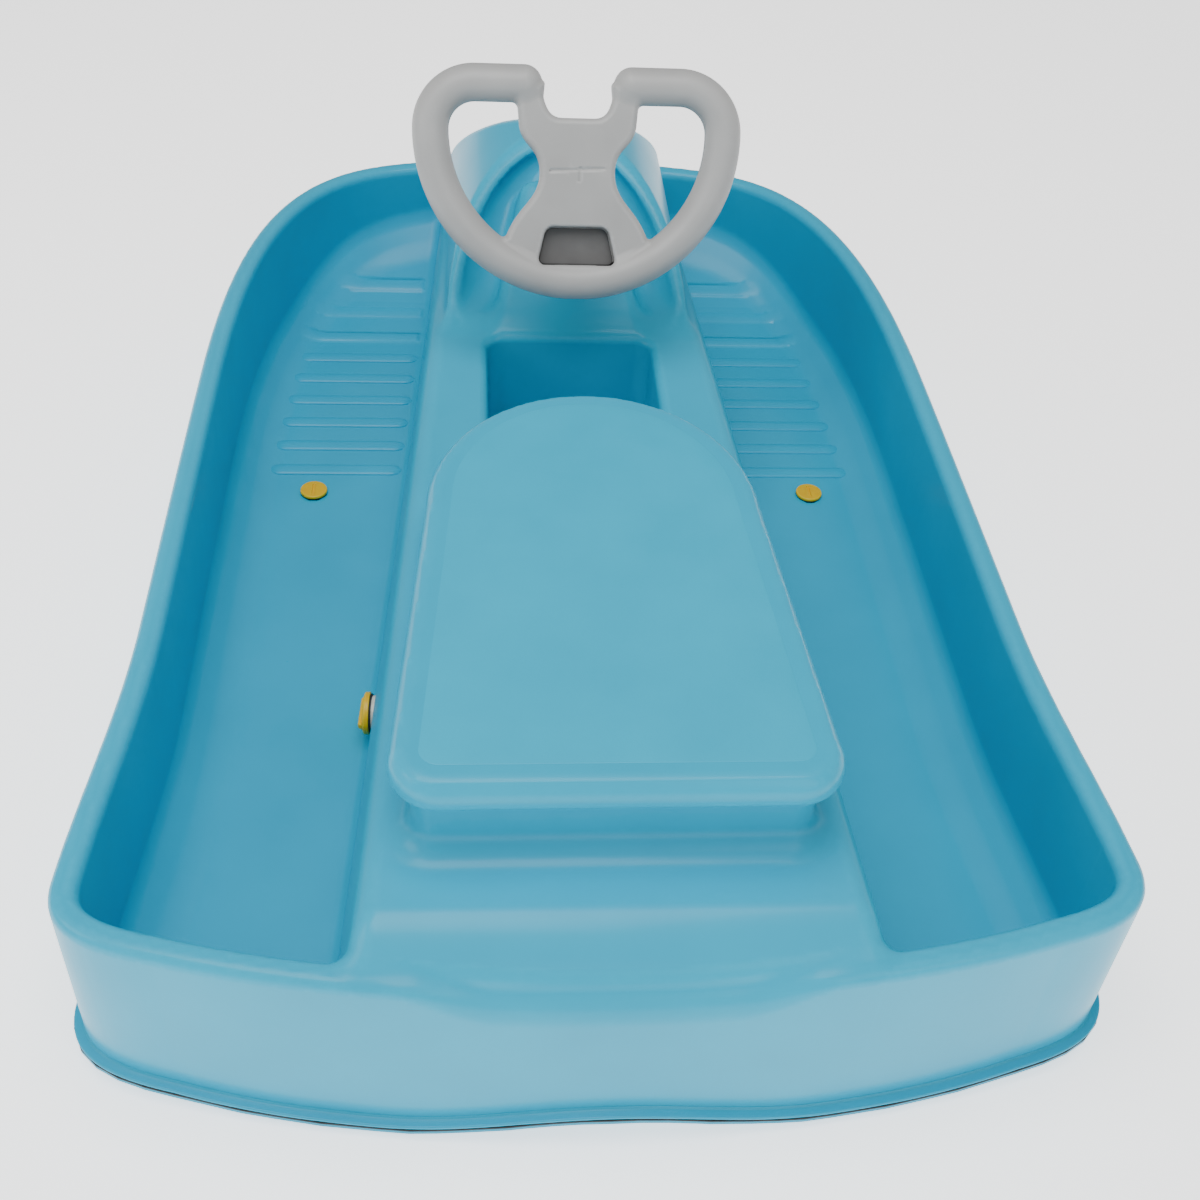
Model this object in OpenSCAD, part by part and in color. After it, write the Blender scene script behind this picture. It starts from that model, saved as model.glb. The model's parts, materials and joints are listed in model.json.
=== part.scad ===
// Child's sit-in pool boat: a moulded deck with a raised seat and a steering
// console, closed underneath by a twin-lobed pan.  A yoke wheel works a rudder
// through a drum, a crossed cable, two turning sheaves and a pulley on its stock.
// Millimetres.  +X starboard, +Y bow, +Z up, origin on the ground at mid-hull.

/* [Hull] */
// Length of the hull over the rim
hull_l = 1166; // [960:2:1420]
// Beam over the stern corners, the widest place
hull_w = 750; // [680:2:900]
// Beam amidships
mid_w = 712; // [650:2:860]
// Height of the rim above the ground
rim_z = 170; // [145:1:210]
// Width of the rolled rim
rim_w = 20; // [18:0.5:26]
// Thickness of the moulded skins
wall = 3.5; // [3:0.5:5]
// Height of the footwell floor above the ground
floor_z = 34; // [32:1:42]
// Width of the bevel between the floor and the inner wall
chine_w = 30; // [18:1:38]
// Height of the bevel
chine_h = 21; // [12:1:30]
// Size of the rounded stern corners
stern_corner = 75; // [64:1:100]
// How far the transom bows out behind its corners
transom_bow = 38; // [20:1:60]
// Half width where the bow shoulders run into the stem
stem_x = 245; // [200:1:280]
// Height that the toe ramp climbs at the bow
ramp_rise = 66; // [40:1:85]
// Run of the toe ramp
ramp_run = 160; // [120:1:200]

/* [Hull foot] */
// Height of the foot of the skirt over the two lobes
foot_low = 13; // [13:1:18]
// Extra height of the foot at the centre line
foot_arch = 20; // [10:1:28]
// Extra height of the foot at the sides
foot_side = 7; // [3:1:12]
// Distance of each lobe from the centre line
lobe_x = 180; // [150:1:220]
// Half width of the flat that each lobe rests on
lobe_flat = 20; // [8:1:30]
// Reach of the out-turned bead at the foot
bead_w = 8; // [5:0.5:11]
// Thickness of the bead and of the pan
pan_t = 3; // [2.5:0.5:4]
// Thickness of the hull gasket
gasket_t = 1.5; // [1:0.25:2.5]
// Depth of the pan under the foot line
pan_depth = 13; // [12:1:13]

/* [Pedestal and seat] */
// Half width of the pedestal at the stern, at floor level
ped_stern = 198; // [185:1:206]
// Half width of the pedestal at the bow, at floor level
ped_bow = 135; // [125:1:150]
// Height of the plinth at the pedestal's foot, above the floor
plinth_h = 52; // [50:1:60]
// How far the flanks stand in from the plinth, at the stern
flank_in = 26; // [20:0.5:32]
// How far the flanks stand in from the plinth, at the bow
flank_bow_in = 20; // [12:0.5:24]
// Height of the shelf round the recess and behind the seat
shelf_z = 192; // [182:1:215]
// Height of the seat top
seat_z = 270; // [245:1:300]
// Thickness of the seat's overhanging edge
seat_t = 26; // [20:1:34]
// Half width of the seat at its rear edge
seat_rear = 150; // [135:1:160]
// Half width of the seat at its shoulders
seat_front = 131; // [115:1:140]
// Length of the seat
seat_l = 440; // [380:2:470]
// Place of the seat's rear edge behind mid-hull
seat_back = 495; // [470:1:500]
// How far the neck stands in from the seat's edge
neck_in = 14; // [8:1:20]
// Half width of the stowage recess
recess_x = 80; // [60:1:90]
// Length of the stowage recess
recess_l = 225; // [180:1:240]
// Depth of the stowage recess under the shelf
recess_d = 100; // [60:1:110]

/* [Console] */
// Radius of the console's arched hood
hood_r = 120; // [105:1:128]
// Distance of the hood's foot ahead of mid-hull
hood_y = 168; // [160:1:185]
// Distance of the hood's crest ahead of mid-hull
crest_y = 372; // [350:1:390]
// Width of the hood's edge band
hood_band = 14; // [10:1:20]
// Depth of the scooped faces beside the shroud
scoop_d = 26; // [12:1:34]
// Half width of the shroud at the recess
shroud_foot = 78; // [66:1:80]
// Half width of the shroud at its top
shroud_top = 54; // [44:1:60]

/* [Steering wheel] */
// Distance of the wheel's hub ahead of mid-hull
wheel_y = 150; // [130:1:165]
// Height of the wheel's hub
wheel_z = 362; // [350:1:375]
// Rake of the column below the horizontal
rake = 31; // [27:1:35]
// Radius of the lower sweep of the grip, to its centre line
sweep_r = 132; // [120:1:145]
// Radius of the upper corners of the grip
corner_r = 40; // [36:1:60]
// Height of the sweep's centre above the hub
sweep_up = 40; // [36:1:52]
// Half of the gap between the two grip ends
tip_gap = 32; // [24:1:44]
// Radius of the grip
grip_r = 16.5; // [14:0.5:18]
// Wall of the two wheel shells
shell_t = 3; // [2.5:0.5:4]
// Thickness of the hub plate
hub_t = 20; // [16:1:24]

/* [Steering gear] */
// Radius of the steering column
column_r = 8; // [7:0.5:9]
// Radius of the column tube
tube_r = 16; // [15:0.5:18]
// Radius at which the cable lies on the drum
drum_r = 25; // [22:0.5:28]
// Radius at which the cable lies on the rudder pulley
pulley_r = 60; // [54:0.5:66]
// Radius at which the cable lies on a sheave
sheave_r = 18; // [15:0.5:20]
// Diameter of the steering cable
cable_d = 2.5; // [2:0.25:3]
// Height of the cable along the hull
cable_z = 65; // [64:0.5:67]
// Distance between the two grooves of the rudder pulley
groove_gap = 16; // [14:0.5:17]

/* [Rudder] */
// Distance of the rudder stock behind mid-hull
stock_y = 400; // [380:1:410]
// Radius of the rudder stock
stock_r = 6; // [5:0.5:7]
// Length of the blade behind the stock
blade_aft = 108; // [80:1:112]
// Length of the blade ahead of the stock
blade_fore = 24; // [16:1:30]
// Thickness of the blade
blade_t = 8; // [6:0.5:10]
// Half width of the rudder well
well_x = 78; // [74:1:84]
// Height of the well's roof
well_z = 48; // [46:0.5:48]

/* [Drains] */
// Distance of each floor drain from the centre line
drain_x = 255; // [235:1:275]
// Distance of the floor drains ahead of mid-hull
drain_y = 105; // [80:1:125]
// Radius of a floor plug's head
plug_head_r = 13.5; // [12:0.5:16]
// Radius of a floor plug's stem
plug_stem_r = 9; // [8:0.5:10]
// Distance of the hull bung behind mid-hull
bung_y = 231; // [200:1:260]
// Height of the hull bung
bung_z = 62; // [60:1:80]
// Radius of the hull bung's head
bung_head_r = 18; // [16:0.5:20]
// Radius of the hull bung's stem
bung_stem_r = 11; // [9:0.5:12]

/* [Hidden] */
$fn = 64;
chine_steps = 3;
hl = hull_l / 2;
hw = hull_w / 2;
mw = mid_w / 2;
fit = 0.05;
gap = 0.3;
far = 900;

// ---- outlines -------------------------------------------------------------

// One cubic curve, without its last point
function curve(a, b, c, d, n) = [for (i = [0 : n - 1]) let (t = i / n, u = 1 - t)
    u * u * u * a + 3 * u * u * t * b + 3 * u * t * t * c + t * t * t * d];
// A closed outline from its starboard half, which runs from stern to bow
function mirrored(half) = concat(half,
    [for (i = [len(half) - 2 : -1 : 1]) [-half[i][0], half[i][1]]]);
// The outline drawn in by d along its own normals
function inset(p, d) = let (n = len(p)) [for (i = [0 : n - 1])
    let (a = p[(i + n - 1) % n], b = p[(i + 1) % n], t = (b - a) / norm(b - a))
    p[i] + d * [-t[1], t[0]]];

corner_x = hw - stern_corner;
corner_y = -hl + transom_bow;
side_y = -hl + transom_bow + stern_corner - 10;
stem_y = hl - 46;
hull = mirrored(concat(
    curve([0, -hl], [corner_x * 0.4, -hl], [corner_x * 0.77, -hl + transom_bow * 0.47],
          [corner_x, corner_y], 5),
    curve([corner_x, corner_y], [corner_x + 45, corner_y + 11],
          [hw + 1, corner_y + 25], [hw - 1, side_y], 6),
    curve([hw - 1, side_y], [hw - 5, side_y + 80], [mw, side_y + 150],
          [mw, side_y + 250], 4),
    curve([mw, side_y + 250], [mw, side_y + 380], [mw, hl - 533], [mw - 1, hl - 443], 2),
    curve([mw - 1, hl - 443], [mw - 4, hl - 233], [stem_x + 77, hl - 103],
          [stem_x, stem_y], 8),
    curve([stem_x, stem_y], [stem_x - 55, hl - 5], [stem_x * 0.41, hl], [0, hl], 5),
    [[0, hl]]));
// The outline scaled down so that its sides and ends come in by d
function drawn_in(p, d) = [for (q = p) [q[0] * (1 - d / hw), q[1] * (1 - d / hl)]];

// Height of the skirt's foot at a distance x from the centre line
function foot_z(x) = let (a = abs(x), u = min(1, a / (lobe_x - lobe_flat)),
    v = max(0, a - lobe_x - lobe_flat) / (hw - lobe_x - lobe_flat))
    foot_low + foot_arch * (1 + cos(180 * u)) / 2 + foot_side * (1 - cos(180 * min(1, v))) / 2;

// Half width of the pedestal at floor level
function ped_half(y) = ped_stern + (ped_bow - ped_stern) * (y + hl) / hull_l;

// Half width of the pedestal above its plinth
function flank_half(y) = ped_half(y) - flank_in + (flank_in - flank_bow_in) * (y + hl) / hull_l;

// The outline of the plinth, or of the flanks, between two places along the hull
function ped_outline(y0, y1, d) = [[-ped_half(y0) + d, y0], [ped_half(y0) - d, y0],
    [ped_half(y1) - d, y1], [-ped_half(y1) + d, y1]];
function flank_outline(y0, y1, d) = [[-flank_half(y0) + d, y0], [flank_half(y0) - d, y0],
    [flank_half(y1) - d, y1], [-flank_half(y1) + d, y1]];

recess_y1 = hood_y - 16;
recess_y0 = recess_y1 - recess_l;
seat_lip = 18;
seat_y0 = -min(seat_back, hl - 88);
seat_y1 = min(seat_y0 + seat_l, recess_y0 + seat_lip);
stock_at = min(stock_y, hl - 183);
arch_l = 145;
seat_corner = 34;
seat = mirrored(concat(
    [[0, seat_y0]],
    [for (a = [-90 : 18 : 0]) [seat_rear - seat_corner + seat_corner * cos(a),
                               seat_y0 + seat_corner + seat_corner * sin(a)]],
    [for (a = [0 : 10 : 80]) [seat_front * cos(a), seat_y1 - arch_l + arch_l * sin(a)]],
    [[0, seat_y1]]));

// ---- building blocks ------------------------------------------------------

module plate(p, z0, z1) {
    translate([0, 0, z0]) linear_extrude(height = z1 - z0) polygon(p);
}

// A band of the hull's outline between two insets
module ring(d0, d1, z0, z1) {
    difference() {
        plate(inset(hull, d0), z0, z1);
        plate(inset(hull, d1), z0 - 1, z1 + 1);
    }
}

// A slab that follows the foot line, between two heights over it
module foot_slab(z0, z1) {
    half = concat([for (i = [0 : 8]) i / 8 * (lobe_x - lobe_flat)],
                  [for (i = [0 : 6]) lobe_x + lobe_flat + i / 6 * (hw + 20 - lobe_x - lobe_flat)]);
    last = len(half) - 1;
    xs = concat([for (i = [last : -1 : 1]) -half[i]], half);
    rotate([90, 0, 0]) linear_extrude(height = 2 * far, center = true)
        polygon(concat([for (x = xs) [x, foot_z(x) + z0]],
                       [for (i = [2 * last : -1 : 0]) [xs[i], foot_z(xs[i]) + z1]]));
}

// A side view drawn in Y and Z, as thick as 2 * half across the hull
module side_view(p, half) {
    rotate([90, 0, 90]) linear_extrude(height = 2 * half, center = true) polygon(p);
}

module box(a, b) { translate(a) cube(b - a); }

module port() { mirror([1, 0, 0]) children(); }

// The wheel's own frame: local Z along the column towards the rider
module at_wheel() {
    translate([0, wheel_y, wheel_z]) rotate([90 - rake, 0, 0]) children();
}

// A tube along a list of points, closed at its ends
module swept(path, r, sides) {
    n = len(path);
    dirs = [for (i = [0 : n - 1])
        let (a = path[max(i - 1, 0)], b = path[min(i + 1, n - 1)]) (b - a) / norm(b - a)];
    pts = [for (i = [0 : n - 1]) for (k = [0 : sides - 1])
        let (t = dirs[i], ref = abs(t[0]) < 0.8 ? [1, 0, 0] : [0, 1, 0],
             u = cross(t, ref) / norm(cross(t, ref)), v = cross(t, u), a = 360 * k / sides)
        path[i] + r * (cos(a) * u + sin(a) * v)];
    walls = [for (i = [0 : n - 2]) for (k = [0 : sides - 1])
        let (m = (k + 1) % sides) each [[i * sides + m, i * sides + k, (i + 1) * sides + k],
            [i * sides + m, (i + 1) * sides + k, (i + 1) * sides + m]]];
    first = [[for (k = [0 : sides - 1]) k]];
    last = [[for (k = [sides - 1 : -1 : 0]) (n - 1) * sides + k]];
    polyhedron(points = pts, faces = concat(walls, first, last), convexity = 8);
}

// ---- deck -----------------------------------------------------------------

hood_foot_z = shelf_z;
crest_z = hood_foot_z + hood_r + 8;
face_slope = atan2(crest_z - hood_foot_z, crest_y - hood_y);
recess_z = shelf_z - recess_d;

ped_y0 = -hl + rim_w / 2;
ped_y1 = hl - rim_w / 2;
step_y1 = -hl + 50;
plinth_z = floor_z + plinth_h;

// The hood: an arch swept along the hull, cut to a wedge by its side view
module hood_mass(t) {
    intersection() {
        union() {
            translate([0, 0, hood_foot_z]) rotate([90, 0, 0])
                cylinder(h = 2 * far, r = hood_r - t, center = true);
            box([-hood_r + t, -far, floor_z], [hood_r - t, far, hood_foot_z]);
        }
        side_view([[hood_y + t / sin(face_slope), hood_foot_z - 60],
                   [hood_y + t / sin(face_slope), hood_foot_z],
                   [crest_y + t / 2, crest_z - t], [crest_y + 46, crest_z - 6 - t],
                   [hl - rim_w - t, hood_foot_z - t], [hl - rim_w - t, hood_foot_z - 60]],
                  far);
    }
}

// The ramp that carries the column up between the two scoops
module shroud_mass(t) {
    intersection() {
        union() {
            translate([0, 0, hood_foot_z]) rotate([90, 0, 0])
                cylinder(h = 2 * far, r = hood_r - t, center = true);
            box([-hood_r, -far, floor_z], [hood_r, far, hood_foot_z]);
        }
        plate([[-shroud_foot + t, recess_y1 + t], [shroud_foot - t, recess_y1 + t],
               [shroud_top - t, crest_y], [-shroud_top + t, crest_y]], floor_z, crest_z);
        side_view([[recess_y1 + t, hood_foot_z - 60], [recess_y1 + t, hood_foot_z - t],
                   [hood_y + t, hood_foot_z + 6 - t], [crest_y + t, crest_z - 2 - t],
                   [crest_y + t, hood_foot_z - 60]], far);
    }
}

// The two hollows in the hood's face, beside the shroud
module scoops(t) {
    shift = (scoop_d + t) / sin(90 - face_slope);
    intersection() {
        translate([0, 0, hood_foot_z]) rotate([90, 0, 0])
            cylinder(h = 2 * far, r = hood_r - hood_band + t, center = true);
        side_view([[hood_y - 40, hood_foot_z + 4 - t], [hood_y + 60, hood_foot_z + 4 - t],
                   [crest_y, crest_z - shift], [crest_y, crest_z + 60],
                   [hood_y - 40, crest_z + 60]], far);
    }
}

// Everything that rises inside the hull, drawn in by t
module pedestal_mass(t) {
    plate(ped_outline(ped_y0, ped_y1, t), floor_z - wall - 1, plinth_z - t);
    plate(flank_outline(ped_y0, ped_y1, t), floor_z, shelf_z - t);
    plate(inset(seat, neck_in + t), shelf_z - 40, seat_z - seat_t + t);
    plate(inset(seat, t), seat_z - seat_t + t, seat_z - t);
    plate(inset(seat, neck_in + t), seat_z - seat_t - 1, seat_z - t);
    difference() {
        hood_mass(t);
        difference() {
            scoops(t);
            shroud_mass(t);
        }
    }
    shroud_mass(t);
}

module recess(t) {
    box([-recess_x - t, recess_y0 - t, recess_z - t], [recess_x + t, recess_y1 + t, seat_z - seat_t]);
}

// Bevelled foot of the inner wall, in three low steps
module chine() {
    for (i = [1 : chine_steps]) difference() {
        plate(inset(hull, rim_w - wall), floor_z - wall, floor_z + i * chine_h / chine_steps);
        plate(drawn_in(hull, rim_w + chine_w * (1 - (i - 1) / chine_steps)), 0, far);
    }
}

// Toe ramp at the bow, as a skin of the floor
module toe_ramp() {
    y0 = hl - rim_w - wall - ramp_run;
    intersection() {
        plate(inset(hull, rim_w - wall), floor_z - wall, rim_z);
        side_view([[y0, floor_z - wall], [y0, floor_z], [y0 + ramp_run * 0.5, floor_z + ramp_rise * 0.32],
                   [hl, floor_z + ramp_rise], [hl, floor_z + ramp_rise - wall],
                   [y0 + ramp_run * 0.5, floor_z + ramp_rise * 0.32 - wall - 1]], far);
    }
}

// Low treads across both footwells
tread_pitch = 42;
tread_w = 17;
tread_h = 3;
tread_x = 138;
tread_n = 6;
module treads() {
    for (i = [0 : tread_n - 1]) {
        y = 134 + i * tread_pitch;
        box([ped_half(y) + 8, y, floor_z - 1], [ped_half(y) + 8 + tread_x, y + tread_w, floor_z + tread_h]);
    }
}

boss_r = tube_r + 5;
boss_top = 48;
boss_end = 190;

// Screw places along the foot, every third point of the outline
foot_line = inset(hull, rim_w / 2);
screw_points = [for (i = [1 : 3 : len(foot_line) - 1]) foot_line[i]];
screw_r = 2;
screw_l = 26;
screw_sink = 1.2;
screw_boss_r = rim_w / 2 - wall + 1;

module deck_solid() {
    ring(0, wall, 0, rim_z);
    ring(-bead_w, wall, foot_low, rim_z / 2);
    ring(0, rim_w, rim_z - wall, rim_z);
    ring(rim_w - wall, rim_w, floor_z - wall, rim_z);
    plate(inset(hull, rim_w - wall), floor_z - wall, floor_z);
    chine();
    toe_ramp();
    treads();
    port() treads();
    intersection() {
        pedestal_mass(0);
        plate(inset(hull, rim_w / 2), 0, far);
    }
    for (p = screw_points) translate([p[0], p[1], 0])
        cylinder(h = foot_z(p[0]) + screw_l + 6, r = screw_boss_r);
    step_mass(0);
}

// Shelf that carries the pedestal back over the transom
module step_mass(t) {
    intersection() {
        plate(inset(hull, t), floor_z, far);
        side_view([[-hl, floor_z - wall], [-hl, rim_z - t], [-hl + 18, rim_z + 12 - t],
                   [step_y1, shelf_z - t], [step_y1 + 40, shelf_z - t], [step_y1 + 40, floor_z - wall]],
                  ped_stern - 36 - t);
    }
}

module deck_shell() {
    color("deepskyblue") difference() {
        union() {
            difference() {
                deck_solid();
                recess(0);
                difference() {
                    union() {
                        intersection() {
                            pedestal_mass(wall);
                            plate(inset(hull, rim_w), 0, far);
                        }
                        step_mass(wall);
                    }
                    recess(wall);
                }
            }
            at_wheel() translate([0, 0, -boss_end]) cylinder(h = boss_end - boss_top, r = boss_r);
        }
        at_wheel() translate([0, 0, -boss_end - 1]) cylinder(h = boss_end, r = tube_r + fit);
        foot_slab(-60, 0);
        difference() {
            ring(-bead_w - 1, 0, 0, rim_z);
            foot_slab(0, pan_t);
        }
        for (p = screw_points) translate([p[0], p[1], -1])
            cylinder(h = foot_z(p[0]) + screw_l, r = screw_r + fit);
        for (s = [-1, 1]) translate([s * drain_x, drain_y, floor_z - 2 * wall])
            cylinder(h = 3 * wall, r = plug_stem_r + 1);
        bung_hole(bung_stem_r + 4.1);
        for (p = tube_screw_points) at_wheel() tube_screw_hole(p);
    }
}

// ---- bottom pan -----------------------------------------------------------

pan_flange = [-gasket_t - pan_t, -gasket_t];
well_y0 = -stock_at - blade_aft - 16;
well_y1 = -stock_at + pulley_r + 26;

module bottom_pan() {
    color("deepskyblue") difference() {
        union() {
            intersection() {
                ring(-bead_w, rim_w, -20, rim_z / 2);
                foot_slab(pan_flange[0], pan_flange[1]);
            }
            intersection() {
                ring(rim_w - pan_t, rim_w, -20, rim_z / 2);
                foot_slab(-pan_depth, pan_flange[1]);
            }
            intersection() {
                plate(inset(hull, rim_w - pan_t), -20, rim_z / 2);
                foot_slab(-pan_depth, pan_t - pan_depth);
            }
            box([-well_x - pan_t, well_y0 - pan_t, 0], [well_x + pan_t, well_y1 + pan_t, well_z + pan_t]);
            for (p = bracket_points) translate([p[0], p[1], foot_low])
                cylinder(h = base_z - foot_low, r = 6);
        }
        difference() {
            foot_slab(-80, -pan_depth);
            box([-well_x - pan_t, well_y0 - pan_t, 90], [well_x + pan_t, well_y1 + pan_t, 91]);
        }
        box([-well_x, well_y0, -20], [well_x, well_y1, well_z]);
        for (p = screw_points) translate([p[0], p[1], -20]) cylinder(h = 80, r = screw_r + 0.5);
        for (s = [-1, 1]) translate([s * drain_x, drain_y, -20]) cylinder(h = 60, r = sleeve_r + fit);
        translate([0, -stock_at, 0]) cylinder(h = 80, r = stock_r + 3 + fit);
        for (p = bracket_points) translate([p[0], p[1], base_z - 12]) cylinder(h = 40, r = screw_r + fit);
        for (x = [-1, 1]) translate([x * foot_screw_x, foot_screw_y, well_z - 1])
            cylinder(h = 40, r = screw_r + fit);
    }
}

module hull_gasket() {
    color("dimgray") difference() {
        intersection() {
            ring(-bead_w, rim_w - wall, -20, rim_z / 2);
            foot_slab(-gasket_t, 0);
        }
        for (p = screw_points) translate([p[0], p[1], -20]) cylinder(h = 80, r = screw_r + 0.5);
    }
}

// Pan-head screws driven up through the pan's flange into the deck's bosses
module hull_screws() {
    color("silver") for (p = screw_points)
        translate([p[0], p[1], foot_z(p[0]) + pan_flange[0] - screw_sink]) {
            cylinder(h = screw_l - 2, r = screw_r);
            translate([0, 0, -3]) cylinder(h = 3, r = 4);
        }
}

// ---- buoyancy -------------------------------------------------------------

module floor_foam() {
    difference() {
        intersection() {
            plate(inset(hull, rim_w + 4), -20, floor_z - wall - gap);
            box([ped_stern + 8, -hl + 60, -20], [hw, hl - ramp_run - 60, floor_z]);
        }
        foot_slab(-80, pan_t - pan_depth + gap);
        translate([drain_x, drain_y, -20]) cylinder(h = 80, r = sleeve_r + 4);
    }
}
module floor_foam_starboard() { color("ivory") floor_foam(); }
module floor_foam_port() { color("ivory") port() floor_foam(); }

foam_x = well_x + pan_t + 4;
module seat_foam() {
    intersection() {
        plate(inset(seat, neck_in + wall + 2), recess_z, seat_z - wall - gap);
        box([foam_x, seat_y0, 0], [hw, recess_y0 - wall - 12, far]);
    }
}
module seat_foam_starboard() { color("ivory") seat_foam(); }
module seat_foam_port() { color("ivory") port() seat_foam(); }

// ---- drains ---------------------------------------------------------------

sleeve_r = 15;
plug_l = 17;
plug_head_t = 3.5;
seal_t = 1.6;

// Liner that seals the drain between the floor and the pan
module drain_sleeve() {
    z0 = foot_z(drain_x) - pan_depth;
    color("gainsboro") translate([drain_x, drain_y, 0]) difference() {
        translate([0, 0, z0]) cylinder(h = floor_z - wall - z0, r = sleeve_r);
        translate([0, 0, -5]) cylinder(h = 60, r = plug_stem_r + fit);
    }
}
module drain_plug() {
    color("gold") translate([drain_x, drain_y, floor_z + seal_t]) {
        cylinder(h = plug_head_t, r = plug_head_r);
        translate([0, 0, -plug_l - seal_t]) cylinder(h = plug_l + seal_t + 1, r = plug_stem_r);
    }
}
module drain_seal() {
    color("black") translate([drain_x, drain_y, floor_z]) difference() {
        cylinder(h = seal_t, r = plug_head_r - 1);
        translate([0, 0, -1]) cylinder(h = 5, r = plug_stem_r + fit);
    }
}
module drain_sleeve_starboard() { drain_sleeve(); }
module drain_sleeve_port() { port() drain_sleeve(); }
module drain_plug_starboard() { drain_plug(); }
module drain_plug_port() { port() drain_plug(); }
module drain_seal_starboard() { drain_seal(); }
module drain_seal_port() { port() drain_seal(); }

// The bung's frame: local Z runs out of the port flank
bung_x = ped_half(-bung_y);
flank_turn = atan2(ped_stern - ped_bow, hull_l);
module at_bung() {
    translate([-bung_x, -bung_y, bung_z]) rotate([0, -90, -flank_turn]) children();
}
module bung_hole(r) { at_bung() translate([0, 0, -3 * wall]) cylinder(h = 6 * wall, r = r); }
socket_l = 26;
module bung_socket() {
    color("gainsboro") at_bung() difference() {
        union() {
            translate([0, 0, -socket_l]) cylinder(h = socket_l, r = bung_stem_r + 4);
            translate([0, 0, -wall - 3]) cylinder(h = 3, r = bung_stem_r + 9);
        }
        translate([0, 0, -socket_l + 4]) cylinder(h = socket_l, r = bung_stem_r + fit);
    }
}
module bung_plug() {
    color("gold") at_bung() {
        translate([0, 0, seal_t]) cylinder(h = 9, r = bung_head_r);
        translate([0, 0, -18]) cylinder(h = 18 + seal_t + 1, r = bung_stem_r);
    }
}
module bung_seal() {
    color("black") at_bung() difference() {
        translate([0, 0, 0.02]) cylinder(h = seal_t - 0.02, r = bung_head_r - 1.5);
        translate([0, 0, -1]) cylinder(h = 5, r = bung_stem_r + fit);
    }
}

// ---- steering wheel -------------------------------------------------------

lobe_c = sweep_r - corner_r;

// The grip: one lower sweep, two upper corners and two straight ends
module grip(r, tip) {
    translate([0, sweep_up, 0]) rotate([0, 0, 180]) rotate_extrude(angle = 180)
        translate([sweep_r, 0]) circle(r = r);
    for (s = [0, 1]) mirror([s, 0, 0]) {
        translate([lobe_c, sweep_up, 0]) rotate_extrude(angle = 90)
            translate([corner_r, 0]) circle(r = r);
        translate([lobe_c, sweep_up + corner_r, 0]) rotate([0, -90, 0])
            cylinder(h = lobe_c - tip_gap - tip, r = r);
    }
}

// The X-shaped hub plate: arms to both grip ends and to the lower sweep
arm_in = tip_gap - 4;
arm_out = tip_gap + 32;
waist_x = 34;
foot_x = 66;
module hub_outline() {
    half = concat([[0, -sweep_r + sweep_up + 6]],
        [[foot_x * 0.55, -sweep_r + sweep_up + 12], [foot_x, -sweep_r * 0.5 + 8]],
        curve([foot_x, -sweep_r * 0.5 + 8], [foot_x * 0.86, -26], [waist_x, -22], [waist_x, 4], 6),
        curve([waist_x, 4], [waist_x, 34], [arm_out - 12, 36], [arm_out, sweep_up + corner_r - 6], 6),
        [[arm_out, sweep_up + corner_r], [arm_in, sweep_up + corner_r]],
        [[arm_in, sweep_up + corner_r - 16], [arm_in - 8, sweep_up + 20], [0, sweep_up + 16]]);
    polygon(mirrored(half));
}

module hub_plate() {
    translate([0, 0, -hub_t / 2]) linear_extrude(height = hub_t) hub_outline();
}

// The pocket in the foot of the hub plate
module hub_pocket() {
    translate([0, 0, -hub_t / 2 + 4]) linear_extrude(height = hub_t)
        polygon([[-36, -72], [-28, -44], [28, -44], [36, -72]]);
}

module wheel_body() {
    difference() {
        union() {
            grip(grip_r, 0);
            hub_plate();
        }
        hub_pocket();
        grip(grip_r - shell_t, shell_t);
    }
}

hub_boss_r = 15;
hub_boss_l = 28;
pin_r = 2.5;
pin_s = 26;
wheel_screw_points = [[38, 48], [-38, 48], [50, -50], [-50, -50]];

module wheel_front_shell() {
    color("silver") at_wheel() difference() {
        intersection() {
            wheel_body();
            box([-far, -far, 0], [far, far, 60]);
        }
        translate([0, 0, -8]) cylinder(h = 12, r = column_r + fit);
        for (p = wheel_screw_points) translate([p[0], p[1], -1]) cylinder(h = 7, r = 1.5 + fit);
    }
}

module wheel_rear_shell() {
    color("darkgray") at_wheel() difference() {
        union() {
            intersection() {
                wheel_body();
                box([-far, -far, -60], [far, far, 0]);
            }
            translate([0, 0, -hub_t / 2 - hub_boss_l]) cylinder(h = hub_boss_l + 5, r = hub_boss_r);
        }
        translate([0, 0, -60]) cylinder(h = 80, r = column_r + fit);
        translate([0, 0, -pin_s]) rotate([0, 90, 0]) cylinder(h = 60, r = pin_r + fit, center = true);
        for (p = wheel_screw_points) translate([p[0], p[1], 0]) {
            translate([0, 0, -40]) cylinder(h = 41, r = 1.5 + fit);
            translate([0, 0, -40]) cylinder(h = 40 - 6, r = 3.2);
        }
    }
}

module wheel_screws() {
    color("gray") at_wheel() for (p = wheel_screw_points) translate([p[0], p[1], 0]) {
        translate([0, 0, -6]) cylinder(h = 11, r = 1.5);
        translate([0, 0, -8]) cylinder(h = 2, r = 3);
    }
}

module wheel_pin() {
    color("gray") at_wheel() translate([0, 0, -pin_s]) rotate([0, 90, 0])
        cylinder(h = 2 * hub_boss_r + 2, r = pin_r, center = true);
}

// ---- column ---------------------------------------------------------------

bush_top = hub_t / 2 + hub_boss_l + 0.5;
bush_flange = 2;
tube_top = bush_top + bush_flange;
tube_end = 230;
bush_l = 20;
drum_l = 24;
drum_s = tube_end + bush_flange + 1 + drum_l / 2;
column_end = drum_s + drum_l / 2 + 8;
tube_screw_points = [70, 150];

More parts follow.
